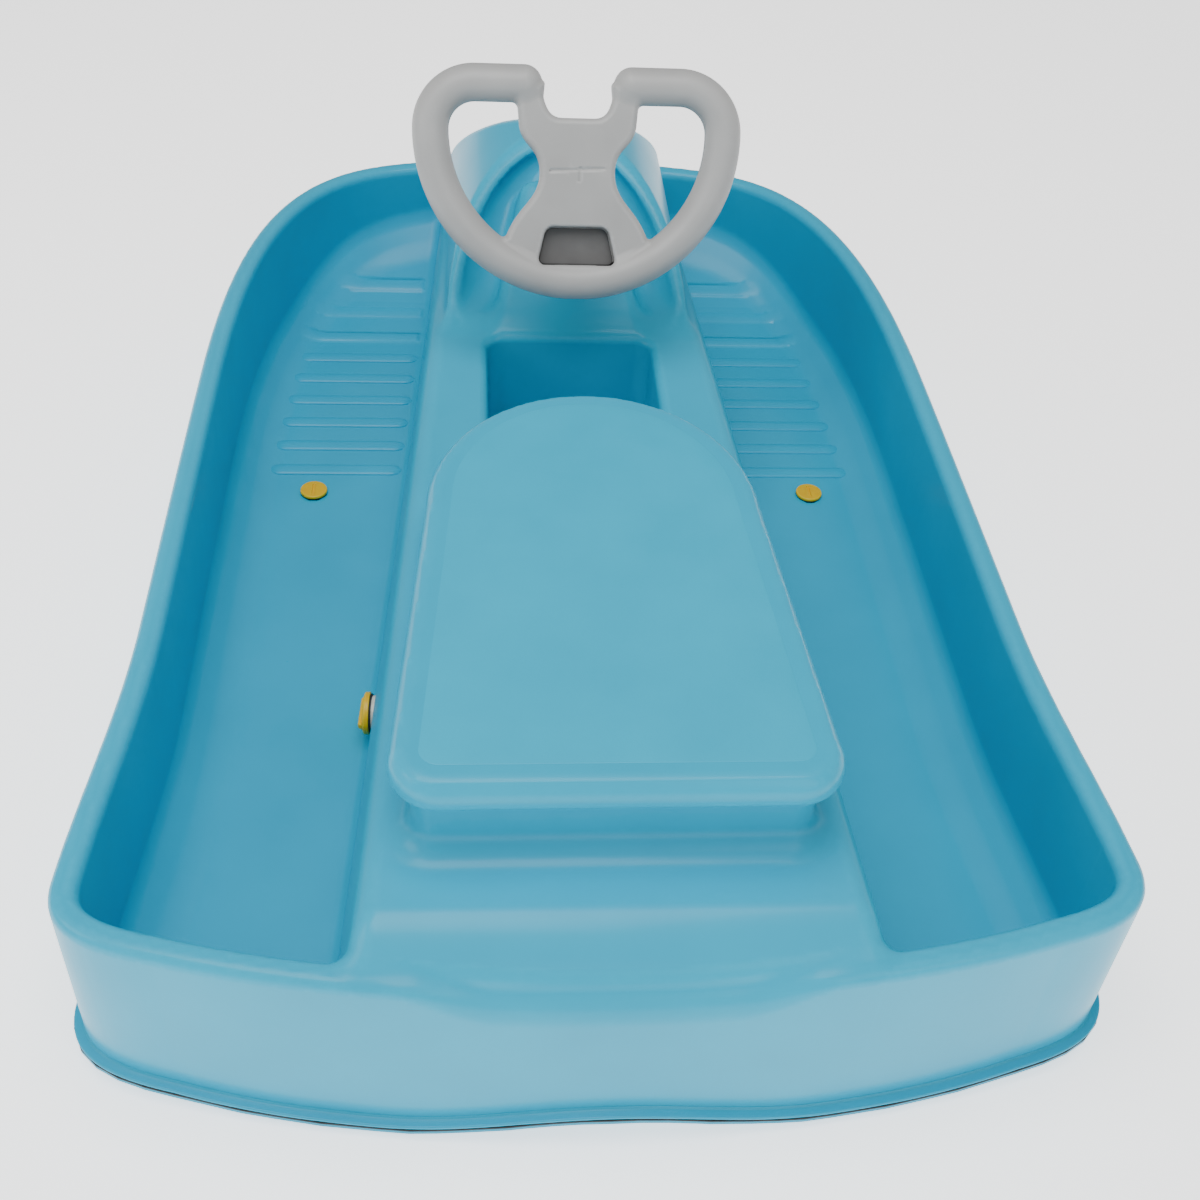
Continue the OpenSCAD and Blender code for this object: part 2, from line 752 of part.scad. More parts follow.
module column_tube() {
    color("dimgray") at_wheel() difference() {
        translate([0, 0, -tube_end]) cylinder(h = tube_end - tube_top, r = tube_r);
        translate([0, 0, -tube_end - 1]) cylinder(h = tube_end + 2, r = column_r + 4 + fit);
        for (p = tube_screw_points) tube_screw_hole(p);
    }
}
// Side holes for the two screws that lock the tube in its boss
module tube_screw_hole(s) {
    translate([0, 0, -s]) rotate([90, 0, 0]) cylinder(h = boss_r + 20, r = screw_r + fit);
}
module tube_screws() {
    color("silver") at_wheel() for (s = tube_screw_points) translate([0, 0, -s]) rotate([90, 0, 0]) {
        translate([0, 0, column_r + 5]) cylinder(h = boss_r - column_r - 5, r = screw_r);
        translate([0, 0, boss_r]) cylinder(h = 2.5, r = 4);
    }
}
module steering_column() {
    color("gray") at_wheel() difference() {
        translate([0, 0, -column_end]) cylinder(h = column_end + 3, r = column_r);
        for (s = [pin_s, drum_s]) translate([0, 0, -s]) rotate([0, 90, 0])
            cylinder(h = 60, r = pin_r + fit, center = true);
    }
}
// A flanged bush; its flange faces local +Z
module bush() {
    difference() {
        union() {
            translate([0, 0, -bush_l]) cylinder(h = bush_l, r = column_r + 4);
            cylinder(h = bush_flange, r = tube_r);
        }
        translate([0, 0, -bush_l - 1]) cylinder(h = bush_l + 10, r = column_r + fit);
    }
}
module upper_bush() { color("white") at_wheel() translate([0, 0, -tube_top]) bush(); }
module lower_bush() { color("white") at_wheel() translate([0, 0, -tube_end]) mirror([0, 0, 1]) bush(); }

// ---- drum, sheaves and cable ----------------------------------------------

cable_r = cable_d / 2;

// A grooved wheel with its axis on local Z; the cable's centre line is at r
module grooved(r, l, bore) {
    difference() {
        cylinder(h = l, r = r + 3, center = true);
        rotate_extrude() translate([r, 0]) circle(r = cable_r + gap, $fn = 24);
        rotate_extrude() translate([r, -cable_r - gap]) square([10, cable_d + 2 * gap]);
        cylinder(h = l + 2, r = bore, center = true);
    }
}
module cable_drum() {
    color("orange") at_wheel() translate([0, 0, -drum_s]) difference() {
        grooved(drum_r, drum_l, column_r + fit);
        rotate([0, 90, 0]) cylinder(h = 2 * drum_r + 20, r = pin_r + fit, center = true);
    }
}
module drum_pin() {
    color("gray") at_wheel() translate([0, 0, -drum_s]) rotate([0, 90, 0])
        cylinder(h = 2 * (drum_r - cable_r - gap - 1), r = pin_r, center = true);
}

// The drum's centre, and the sheaves below it on the cable's line
down = [0, -sin(rake), -cos(rake)];
drum_c = [0, wheel_y + drum_s * cos(rake), wheel_z - drum_s * sin(rake)];
sheave_z = cable_z + sheave_r;
touch_z = sheave_z - sheave_r * sin(rake);
run_down = (drum_c[2] - touch_z) / cos(rake);
sheave_y = drum_c[1] - run_down * sin(rake) - sheave_r * cos(rake);
sheave_w = 9;
axle_r = 4;

module sheave() {
    translate([drum_r, sheave_y, sheave_z]) rotate([0, 90, 0])
        grooved(sheave_r, sheave_w, axle_r + fit);
}
module sheave_starboard() { color("orange") sheave(); }
module sheave_port() { color("orange") port() sheave(); }

cheek_x = drum_r + sheave_w / 2 + 1;
cheek_t = 4;
module sheave_axle() {
    color("gray") translate([0, sheave_y, sheave_z]) rotate([0, 90, 0]) {
        cylinder(h = 2 * (cheek_x + cheek_t + 2), r = axle_r, center = true);
        for (s = [-1, 1]) translate([0, 0, s * (cheek_x + cheek_t + 3)])
            cylinder(h = 2.5, r = axle_r + 3, center = true);
    }
}

base_z = foot_low + foot_arch + pan_t - pan_depth + 3;
bracket_points = [for (x = [-1, 1]) for (y = [-1, 1]) [x * (cheek_x + cheek_t + 10), sheave_y + y * 16]];
module sheave_bracket() {
    color("silver") difference() {
        union() {
            box([-cheek_x - cheek_t - 20, sheave_y - 26, base_z],
                [cheek_x + cheek_t + 20, sheave_y + 26, base_z + 3]);
            for (x = [-cheek_x - cheek_t, cheek_x, -drum_r + sheave_w / 2 + 1])
                box([x, sheave_y - 12, base_z], [x + cheek_t, sheave_y + 12, sheave_z + 8]);
        }
        translate([0, sheave_y, sheave_z]) rotate([0, 90, 0])
            cylinder(h = 200, r = axle_r + fit, center = true);
        for (p = bracket_points) translate([p[0], p[1], base_z - 5]) cylinder(h = 20, r = screw_r + fit);
    }
}
module bracket_screws() {
    color("silver") {
        for (p = bracket_points) translate([p[0], p[1], base_z - 8]) {
            cylinder(h = 11, r = screw_r);
            translate([0, 0, 11]) cylinder(h = 2.5, r = 4);
        }
        for (x = [-1, 1]) translate([x * foot_screw_x, foot_screw_y, well_z + 1]) {
            cylinder(h = pan_t + 2, r = screw_r);
            translate([0, 0, pan_t + 2]) cylinder(h = 2.5, r = 4);
        }
    }
}

// The cable's centre line: the starboard half runs from the top of the drum to
// the port side of the rudder pulley, so the two halves cross on the way.
wheel_up = [0, sin(rake), cos(rake)];
lead_y = sheave_y - 16;
cross_l = norm([drum_r, lead_y + stock_at]);
touch_a = 180 - acos(pulley_r / cross_l) - atan2(lead_y + stock_at, drum_r);
function on_pulley(s, a) = [-s * pulley_r * cos(a), -stock_at + pulley_r * sin(a),
    cable_z + s * groove_gap / 2];
function cable_half(s) = let (lead = [s * drum_r, lead_y, cable_z], touch = on_pulley(s, touch_a)) concat(
    [for (a = [0 : 15 : 75]) drum_c + drum_r * (sin(a) * [s, 0, 0] + cos(a) * wheel_up)],
    [for (k = [0 : 4]) drum_c + [s * drum_r, 0, 0] + k / 4 * run_down * down],
    [for (a = [10 : 12 : 58]) let (b = rake + a)
        [s * drum_r, sheave_y + sheave_r * cos(b), sheave_z - sheave_r * sin(b)]],
    [[s * drum_r, sheave_y, cable_z], lead],
    [for (k = [1 : 5]) lead + k / 6 * (touch - lead)],
    [for (k = [0 : 8]) on_pulley(s, touch_a - k * 11)]);
module steering_cable() {
    color("black") {
        swept(concat([for (i = [len(cable_half(1)) - 1 : -1 : 0]) cable_half(1)[i]],
                     [for (i = [1 : len(cable_half(-1)) - 1]) cable_half(-1)[i]]), cable_r, 8);
    }
}

// ---- rudder ---------------------------------------------------------------

pulley_t = groove_gap + 7;
pulley_z = cable_z;
module rudder_pulley() {
    color("orange") translate([0, -stock_at, pulley_z]) difference() {
        cylinder(h = pulley_t, r = pulley_r + 3, center = true);
        for (s = [-1, 1]) translate([0, 0, s * groove_gap / 2]) {
            rotate_extrude() translate([pulley_r, 0]) circle(r = cable_r + gap, $fn = 24);
            rotate_extrude() translate([pulley_r, -cable_r - gap]) square([10, cable_d + 2 * gap]);
        }
        for (a = [45 : 90 : 315]) rotate([0, 0, a]) translate([(pulley_r + stock_r) / 2, 0, 0])
            cylinder(h = pulley_t + 2, r = pulley_r / 4, center = true);
        cylinder(h = pulley_t + 2, r = stock_r + fit, center = true);
        rotate([90, 0, 0]) cylinder(h = 2 * pulley_r + 20, r = pin_r + fit, center = true);
    }
}
module pulley_pin() {
    color("gray") translate([0, -stock_at, pulley_z]) rotate([90, 0, 0])
        cylinder(h = 2 * stock_r + 12, r = pin_r, center = true);
}

stock_top = pulley_z + pulley_t / 2 + 18;
blade_z0 = 3;
blade_z1 = well_z - 5;
module rudder_stock() {
    color("silver") translate([0, -stock_at, 0]) difference() {
        translate([0, 0, blade_z0 + 4]) cylinder(h = stock_top - blade_z0 - 4, r = stock_r);
        translate([0, 0, pulley_z]) rotate([90, 0, 0]) cylinder(h = 60, r = pin_r + fit, center = true);
        for (z = blade_pins) translate([0, 0, z]) rotate([0, 90, 0])
            cylinder(h = 60, r = 1.5 + fit, center = true);
    }
}
blade_pins = [16, 34];
module rudder_blade() {
    color("orange") translate([0, -stock_at, 0]) difference() {
        union() {
            box([-blade_t / 2, -blade_aft, blade_z0], [blade_t / 2, blade_fore, blade_z1]);
            translate([0, 0, blade_z0]) cylinder(h = blade_z1 - blade_z0, r = stock_r + 4);
        }
        translate([0, 0, blade_z0 + 4]) cylinder(h = 80, r = stock_r + fit);
        for (z = blade_pins) translate([0, 0, z]) rotate([0, 90, 0])
            cylinder(h = 60, r = 1.5 + fit, center = true);
        for (y = [-blade_aft, blade_fore]) for (s = [0, 1]) mirror([s, 0, 0])
            translate([blade_t / 2, y, 0]) rotate([0, 0, y < 0 ? -12 : 16])
                box([0, -40, -5], [20, 40, 60]);
    }
}
module blade_rivets() {
    color("silver") translate([0, -stock_at, 0]) for (z = blade_pins)
        translate([0, 0, z]) rotate([0, 90, 0])
        cylinder(h = 2 * (stock_r + 4) + 2, r = 1.5, center = true);
}

module stock_bush() {
    color("white") translate([0, -stock_at, 0]) difference() {
        union() {
            translate([0, 0, well_z - 2]) cylinder(h = pan_t + 2, r = stock_r + 3);
            translate([0, 0, well_z + pan_t]) cylinder(h = 1, r = stock_r + 8);
        }
        translate([0, 0, well_z - 5]) cylinder(h = 40, r = stock_r + fit);
    }
}

// Strap that steadies the head of the stock over the quadrant
strap_t = 3;
strap_y = -stock_at + pulley_r + 6;
foot_screw_x = 24;
foot_screw_y = strap_y + 12;
strap_z = pulley_z + pulley_t / 2 + 8;
module stock_bracket() {
    color("silver") difference() {
        union() {
            box([-14, strap_y, well_z + pan_t], [14, strap_y + strap_t, strap_z + strap_t]);
            box([-14, -stock_at - 14, strap_z], [14, strap_y + strap_t, strap_z + strap_t]);
            box([-foot_screw_x - 8, strap_y, well_z + pan_t],
                [foot_screw_x + 8, strap_y + 21, well_z + pan_t + strap_t]);
        }
        translate([0, -stock_at, 0]) cylinder(h = 200, r = stock_r + fit);
        for (x = [-1, 1]) translate([x * foot_screw_x, foot_screw_y, 0])
            cylinder(h = 100, r = screw_r + fit);
    }
}
module stock_nut() {
    color("silver") translate([0, -stock_at, strap_z + strap_t + 0.3]) difference() {
        cylinder(h = 5, r = stock_r + 4, $fn = 6);
        translate([0, 0, -1]) cylinder(h = 10, r = stock_r + fit);
    }
}

// ---- drawing --------------------------------------------------------------

deck_shell();
bottom_pan();
hull_gasket();
hull_screws();
floor_foam_port();
floor_foam_starboard();
seat_foam_port();
seat_foam_starboard();
drain_sleeve_port();
drain_sleeve_starboard();
drain_plug_port();
drain_plug_starboard();
drain_seal_port();
drain_seal_starboard();
bung_socket();
bung_plug();
bung_seal();
wheel_front_shell();
wheel_rear_shell();
wheel_screws();
wheel_pin();
column_tube();
tube_screws();
steering_column();
upper_bush();
lower_bush();
cable_drum();
drum_pin();
sheave_port();
sheave_starboard();
sheave_axle();
sheave_bracket();
bracket_screws();
steering_cable();
rudder_pulley();
pulley_pin();
rudder_stock();
rudder_blade();
blade_rivets();
stock_bush();
stock_bracket();
stock_nut();
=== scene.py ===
"""Child's sit-in pool boat: finished meshes, finishes, soft studio and camera.

Shapes are worked out in millimetres as rounded fields and turned into metres when a
mesh is made.  +X is starboard, +Y the bow and +Z up.
"""
from __future__ import annotations

import json
import logging
import math
from dataclasses import dataclass
from enum import Enum
from typing import Any, Callable, Sequence

import bmesh
import bpy
import numpy as np
from mathutils import Matrix, Vector
from mathutils.kdtree import KDTree

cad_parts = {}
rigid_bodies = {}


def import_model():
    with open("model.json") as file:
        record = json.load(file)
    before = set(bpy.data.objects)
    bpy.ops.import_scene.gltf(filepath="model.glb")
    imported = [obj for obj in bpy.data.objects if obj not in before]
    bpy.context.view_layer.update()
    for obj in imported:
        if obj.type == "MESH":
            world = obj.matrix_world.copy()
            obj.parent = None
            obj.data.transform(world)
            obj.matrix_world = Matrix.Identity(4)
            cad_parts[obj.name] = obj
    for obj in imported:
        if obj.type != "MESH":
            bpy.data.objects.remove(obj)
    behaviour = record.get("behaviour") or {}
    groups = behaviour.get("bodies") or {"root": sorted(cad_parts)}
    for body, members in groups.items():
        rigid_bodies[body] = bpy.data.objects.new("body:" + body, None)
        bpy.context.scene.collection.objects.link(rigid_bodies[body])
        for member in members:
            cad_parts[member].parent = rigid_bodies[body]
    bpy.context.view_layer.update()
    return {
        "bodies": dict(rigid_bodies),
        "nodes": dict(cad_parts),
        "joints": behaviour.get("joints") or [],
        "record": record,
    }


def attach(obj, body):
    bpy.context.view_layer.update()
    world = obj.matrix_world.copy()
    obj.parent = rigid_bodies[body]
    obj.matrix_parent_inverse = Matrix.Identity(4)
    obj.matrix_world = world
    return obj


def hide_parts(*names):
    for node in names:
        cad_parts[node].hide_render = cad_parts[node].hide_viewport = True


LOG = logging.getLogger("pool_boat")
MM = 0.001
Array = np.ndarray
Field = Callable[[Array, Array, Array], Array]


# ---- small helpers ----------------------------------------------------------


def linear(hex_colour: str) -> tuple[float, float, float, float]:
    """Turns an sRGB hex colour into linear RGBA.

    Args:
        hex_colour: Six hex digits, such as "2ab8d6".

    Returns:
        Linear red, green, blue and an alpha of one.
    """
    parts = [int(hex_colour[i : i + 2], 16) / 255 for i in (0, 2, 4)]
    rgb = [c / 12.92 if c <= 0.04045 else ((c + 0.055) / 1.055) ** 2.4 for c in parts]
    return rgb[0], rgb[1], rgb[2], 1.0


def add_node(
    tree: bpy.types.NodeTree,
    kind: str,
    settings: dict[str, Any] | None = None,
    values: dict[Any, Any] | None = None,
    links: dict[Any, Any] | None = None,
) -> bpy.types.Node:
    """Adds one node to a tree, with its settings, socket values and links.

    Args:
        tree: The shader or geometry tree.
        kind: The node's type name.
        settings: Attributes of the node itself.
        values: Input sockets, by name or index, and their constants.
        links: Input sockets, by name or index, and the sockets that feed them.

    Returns:
        The new node.
    """
    node = tree.nodes.new(kind)
    for name, value in (settings or {}).items():
        setattr(node, name, value)
    for key, value in (values or {}).items():
        node.inputs[key].default_value = value
    for key, socket in (links or {}).items():
        tree.links.new(socket, node.inputs[key])
    return node


def round_max(a: Array, b: Array, r: Array | float) -> Array:
    """Intersection of two fields, its edge rounded to radius r."""
    return np.minimum(-r, np.maximum(a, b)) + np.hypot(np.maximum(a + r, 0), np.maximum(b + r, 0))


def round_min(a: Array, b: Array, r: Array | float) -> Array:
    """Union of two fields, its corner filled to radius r."""
    return -round_max(-a, -b, r)


def ease(t: Array) -> Array:
    """Smooth step from 0 to 1 as t goes from 0 to 1."""
    u = np.clip(t, 0.0, 1.0)
    return u * u * (3 - 2 * u)


def bezier(a: Sequence[float], b: Sequence[float], c: Sequence[float], d: Sequence[float],
           n: int) -> list[tuple[float, float]]:
    """Points along one cubic curve, without its last point."""
    out = []
    for i in range(n):
        t = i / n
        u = 1 - t
        w = (u * u * u, 3 * u * u * t, 3 * u * t * t, t * t * t)
        out.append(tuple(w[0] * a[k] + w[1] * b[k] + w[2] * c[k] + w[3] * d[k] for k in (0, 1)))
    return out


def set_input(modifier: bpy.types.NodesModifier, name: str, value: float) -> None:
    """Sets a geometry tree's input on its modifier, by the socket's identifier.

    Args:
        modifier: The modifier that holds the tree.
        name: The input's name.
        value: Its value.
    """
    for item in modifier.node_group.interface.items_tree:
        if item.item_type == "SOCKET" and item.in_out == "INPUT" and item.name == name:
            modifier[item.identifier] = value


class Outline:
    """A closed outline, symmetric about X = 0, and its signed distance on a grid."""

    def __init__(self, half: Sequence[tuple[float, float]], spacing: float, reach: float) -> None:
        """Builds the outline from its starboard half and tabulates the distance.

        Args:
            half: Points from the middle of the lower end to the middle of the upper end.
            spacing: Spacing of the distance grid.
            reach: How far the grid goes outside the outline.
        """
        dense: list[np.ndarray] = []
        pts = [np.array(p, float) for p in half]
        for a, b in zip(pts, pts[1:]):
            count = max(1, int(np.linalg.norm(b - a) / 1.5))
            dense += [a + (b - a) * i / count for i in range(count)]
        dense.append(pts[-1])
        right = np.array(dense)
        left = right[-2:0:-1] * np.array([-1.0, 1.0])
        self.points = np.vstack([right, left])
        ahead = np.roll(self.points, -2, 0) - np.roll(self.points, 2, 0)
        ahead /= np.linalg.norm(ahead, axis=1)[:, None]
        self.normals = np.stack([ahead[:, 1], -ahead[:, 0]], 1)
        self.spacing = spacing
        self.low = np.array([0.0, self.points[:, 1].min() - reach])
        high = self.points.max(0) + reach
        xs = np.arange(0.0, high[0] + spacing, spacing)
        ys = np.arange(self.low[1], high[1] + spacing, spacing)
        tree = KDTree(len(self.points))
        for i, (x, y) in enumerate(self.points):
            tree.insert((x, y, 0.0), i)
        tree.balance()
        self.table = np.empty((len(xs), len(ys)))
        for i, x in enumerate(xs):
            for j, y in enumerate(ys):
                near, k, far = tree.find((x, y, 0.0))
                across = (x - near[0]) * self.normals[k, 0] + (y - near[1]) * self.normals[k, 1]
                self.table[i, j] = across if far < 12 else math.copysign(far, across)

    def __call__(self, x: Array, y: Array) -> Array:
        """Signed distance, negative inside the outline.

        Args:
            x: Places across, in millimetres.
            y: Places along, in millimetres.

        Returns:
            The distance from the outline.
        """
        u = np.clip((np.abs(x) - self.low[0]) / self.spacing, 0, self.table.shape[0] - 1.001)
        v = np.clip((y - self.low[1]) / self.spacing, 0, self.table.shape[1] - 1.001)
        u, v = np.broadcast_arrays(u, v)
        i, j = u.astype(int), v.astype(int)
        fu, fv = u - i, v - j
        t = self.table
        return (t[i, j] * (1 - fu) + t[i + 1, j] * fu) * (1 - fv) + (
            t[i, j + 1] * (1 - fu) + t[i + 1, j + 1] * fu) * fv


# ---- meshes from fields -----------------------------------------------------


@dataclass
class Skin:
    """Vertices in millimetres, and quads or triangles, of one surface."""

    verts: Array
    faces: Array


def surface_nets(field: Field, low: Sequence[float], high: Sequence[float], cell: float) -> Skin:
    """Meshes the zero level of a field with one vertex in each cell it crosses.

    Args:
        field: Signed distance, negative in the solid.
        low: Lowest corner of the grid.
        high: Highest corner of the grid.
        cell: Size of a cell.

    Returns:
        The surface, its quads facing outwards.
    """
    axes = [np.arange(low[k], high[k] + cell, cell) for k in range(3)]
    grid = field(axes[0][:, None, None], axes[1][None, :, None], axes[2][None, None, :])
    grid = np.ascontiguousarray(np.broadcast_to(grid, tuple(len(a) for a in axes))).astype(np.float32)
    solid = grid < 0
    shape = tuple(n - 1 for n in grid.shape)
    corners = [(i, j, k) for i in (0, 1) for j in (0, 1) for k in (0, 1)]

    def part(source: Array, c: tuple[int, int, int]) -> Array:
        """The grid values at one corner of every cell."""
        return source[c[0] : c[0] + shape[0], c[1] : c[1] + shape[1], c[2] : c[2] + shape[2]]

    count = sum(part(solid, c).astype(np.int8) for c in corners)
    active = (count > 0) & (count < 8)
    where = np.argwhere(active)
    index = np.full(shape, -1, np.int64)
    index[active] = np.arange(len(where))
    values = np.stack([part(grid, c)[active] for c in corners], 1)
    total = np.zeros((len(where), 3))
    hits = np.zeros(len(where))
    for a, ca in enumerate(corners):
        for b, cb in enumerate(corners):
            if sum(abs(ca[k] - cb[k]) for k in range(3)) != 1 or a > b:
                continue
            va, vb = values[:, a], values[:, b]
            cut = (va < 0) != (vb < 0)
            t = np.where(cut, va / np.where(cut, va - vb, 1), 0)
            spot = np.array(ca) + t[:, None] * (np.array(cb) - np.array(ca))
            total += spot * cut[:, None]
            hits += cut
    verts = (where + total / hits[:, None]) * cell + np.array([a[0] for a in axes])
    quads = []
    for axis in range(3):
        u, v = (axis + 1) % 3, (axis + 2) % 3
        first = [slice(None)] * 3
        second = [slice(None)] * 3
        first[axis], second[axis] = slice(0, -1), slice(1, None)
        change = solid[tuple(first)] != solid[tuple(second)]
        edge = np.argwhere(change)
        keep = (edge[:, u] > 0) & (edge[:, v] > 0) & (edge[:, u] < shape[u]) & (edge[:, v] < shape[v])
        edge = edge[keep]
        inside = solid[tuple(edge.T)]
        ring = []
        for du, dv in ((0, 0), (-1, 0), (-1, -1), (0, -1)):
            place = edge.copy()
            place[:, u] += du
            place[:, v] += dv
            ring.append(index[tuple(place.T)])
        quad = np.stack(ring, 1)
        quad[~inside] = quad[~inside][:, ::-1]
        quads.append(quad)
    return Skin(verts, np.vstack(quads))


def slope(field: Field, p: Array, step: float = 0.4) -> tuple[Array, Array, Array]:
    """Value, gradient and curvature of a field at points.

    Args:
        field: The field.
        p: Points, one a row.
        step: Half the distance between samples.

    Returns:
        The value, the gradient and the sum of second differences.
    """
    value = field(p[:, 0], p[:, 1], p[:, 2])
    grad = np.empty_like(p)
    bend = np.zeros(len(p))
    for k in range(3):
        q = p.copy()
        q[:, k] += step
        up = field(q[:, 0], q[:, 1], q[:, 2])
        q[:, k] -= 2 * step
        down = field(q[:, 0], q[:, 1], q[:, 2])
        grad[:, k] = (up - down) / (2 * step)
        bend += (up + down - 2 * value) / (step * step)
    return value, grad, bend


def settle(field: Field, p: Array, rounds: int = 3, reach: float = 2.0) -> Array:
    """Moves points onto the zero level of a field, at most reach each time."""
    for _ in range(rounds):
        value, grad, _bend = slope(field, p)
        square = np.maximum((grad**2).sum(1), 0.25)
        p = p - np.clip(value / square, -reach, reach)[:, None] * grad
    return p


def new_mesh(name: str, verts: Array, faces: Sequence[Sequence[int]]) -> bpy.types.Object:
    """Makes an object from vertices in millimetres.

    Args:
        name: The piece's name.
        verts: Vertices, in millimetres.
        faces: Vertex numbers of each face.

    Returns:
        The object, at the origin, with smooth faces.
    """
    mesh = bpy.data.meshes.new(name)
    mesh.from_pydata((np.asarray(verts) * MM).tolist(), [],
                     np.asarray(faces).tolist() if isinstance(faces, np.ndarray) else faces)
    mesh.validate()
    mesh.shade_smooth()
    piece = bpy.data.objects.new(name, mesh)
    bpy.context.scene.collection.objects.link(piece)
    return piece


def evaluated(piece: bpy.types.Object) -> None:
    """Turns a piece's modifiers into its own plain mesh and removes them."""
    graph = bpy.context.evaluated_depsgraph_get()
    mesh = bpy.data.meshes.new_from_object(piece.evaluated_get(graph))
    piece.modifiers.clear()
    old = piece.data
    piece.data = mesh
    mesh.name = piece.name
    bpy.data.meshes.remove(old)


def thinned(skin: Skin, target: int) -> Skin:
    """Collapses flat stretches of a surface until it has about target triangles."""
    faces = len(skin.faces) * (2 if skin.faces.shape[1] == 4 else 1)
    if faces <= target:
        if skin.faces.shape[1] == 4:
            skin.faces = np.vstack([skin.faces[:, [0, 1, 2]], skin.faces[:, [0, 2, 3]]])
        return skin
    piece = new_mesh("thinning", skin.verts, skin.faces)
    modifier = piece.modifiers.new("thin", "DECIMATE")
    modifier.ratio = target / faces
    evaluated(piece)
    mesh = piece.data
    mesh.calc_loop_triangles()
    verts = np.empty(len(mesh.vertices) * 3)
    mesh.vertices.foreach_get("co", verts)
    tris = np.empty(len(mesh.loop_triangles) * 3, np.int32)
    mesh.loop_triangles.foreach_get("vertices", tris)
    bpy.data.objects.remove(piece)
    bpy.data.meshes.remove(mesh)
    return Skin(verts.reshape(-1, 3) / MM, tris.reshape(-1, 3))


def walled(skin: Skin, normals: Array, thickness: float) -> tuple[Skin, Array]:
    """Gives an open or closed surface an inner side and closes its open edges.

    Args:
        skin: The outer surface.
        normals: Its unit normals, one a vertex.
        thickness: Thickness of the wall.

    Returns:
        The closed surface and its normals.
    """
    n = len(skin.verts)
    inner = skin.verts - normals * thickness
    faces = skin.faces
    sides = np.vstack([faces[:, [i, (i + 1) % 3]] for i in range(3)])
    key = {(int(a), int(b)) for a, b in sides}
    open_sides = [(a, b) for a, b in key if (b, a) not in key]
    strips = [(b, a, a + n) for a, b in open_sides] + [(b, a + n, b + n) for a, b in open_sides]
    everything = [faces, faces[:, ::-1] + n]
    if strips:
        everything.append(np.array(strips))
    return Skin(np.vstack([skin.verts, inner]), np.vstack(everything)), np.vstack([normals, -normals])


def finish_skin(name: str, skin: Skin, normals: Array, scuff_and_highlight: Array | None = None) -> bpy.types.Object:
    """Makes the object of a surface with its true normals and its paler edge mark, partly wear and partly
    painted highlight.
    """
    piece = new_mesh(name, skin.verts, skin.faces)
    mesh = piece.data
    mesh.normals_split_custom_set_from_vertices(normals.tolist())
    if scuff_and_highlight is not None:
        layer = mesh.attributes.new("edge_wear", "FLOAT", "POINT")
        layer.data.foreach_set("value", scuff_and_highlight.astype(np.float32))
    return piece


def moulded(
    name: str,
    field: Field,
    low: Sequence[float],
    high: Sequence[float],
    cell: float,
    target: int,
    place: Matrix | None = None,
    smooth: Field | None = None,
) -> bpy.types.Object:
    """Makes a closed moulded piece from a field.

    Args:
        name: The piece's name.
        field: Signed distance in the piece's own frame, in millimetres.
        low: Lowest corner of its box.
        high: Highest corner of its box.
        cell: Size of a cell.
        target: Triangles to keep.
        place: Where its own frame lies, or None.
        smooth: The field whose normals it takes, or None for its own.

    Returns:
        The object.
    """
    skin = surface_nets(field, low, high, cell)
    skin.verts = settle(field, skin.verts, 3, cell * 0.6)
    skin = thinned(skin, target)
    skin.verts = settle(field, skin.verts, 2, cell * 0.3)
    _value, grad, bend = slope(smooth or field, skin.verts, 0.3)
    normals = grad / np.maximum(np.linalg.norm(grad, axis=1), 1e-9)[:, None]
    if place is not None:
        turn = np.array(place.to_3x3())
        skin.verts = skin.verts @ turn.T + np.array(place.translation)
        normals = normals @ turn.T
    # Convex edges get the paler edge colour: partly wear, partly painted highlight
    return finish_skin(name, skin, normals, np.clip(bend * 3.0, 0, 1))


# ---- finishes ---------------------------------------------------------------


class Slot(Enum):
    """Material slots of the record."""

    BLUE = "blue_polyethylene"
    GREY = "grey_polyethylene"
    YELLOW = "yellow_plastic"
    NATURAL = "natural_plastic"
    BLACK = "black_plastic"
    RUBBER = "gasket_rubber"
    FOAM = "white_foam"
    STAINLESS = "stainless_steel"
    ZINC = "galvanised_steel"
    ALUMINIUM = "aluminium_tube"
    JACKET = "cable_jacket"


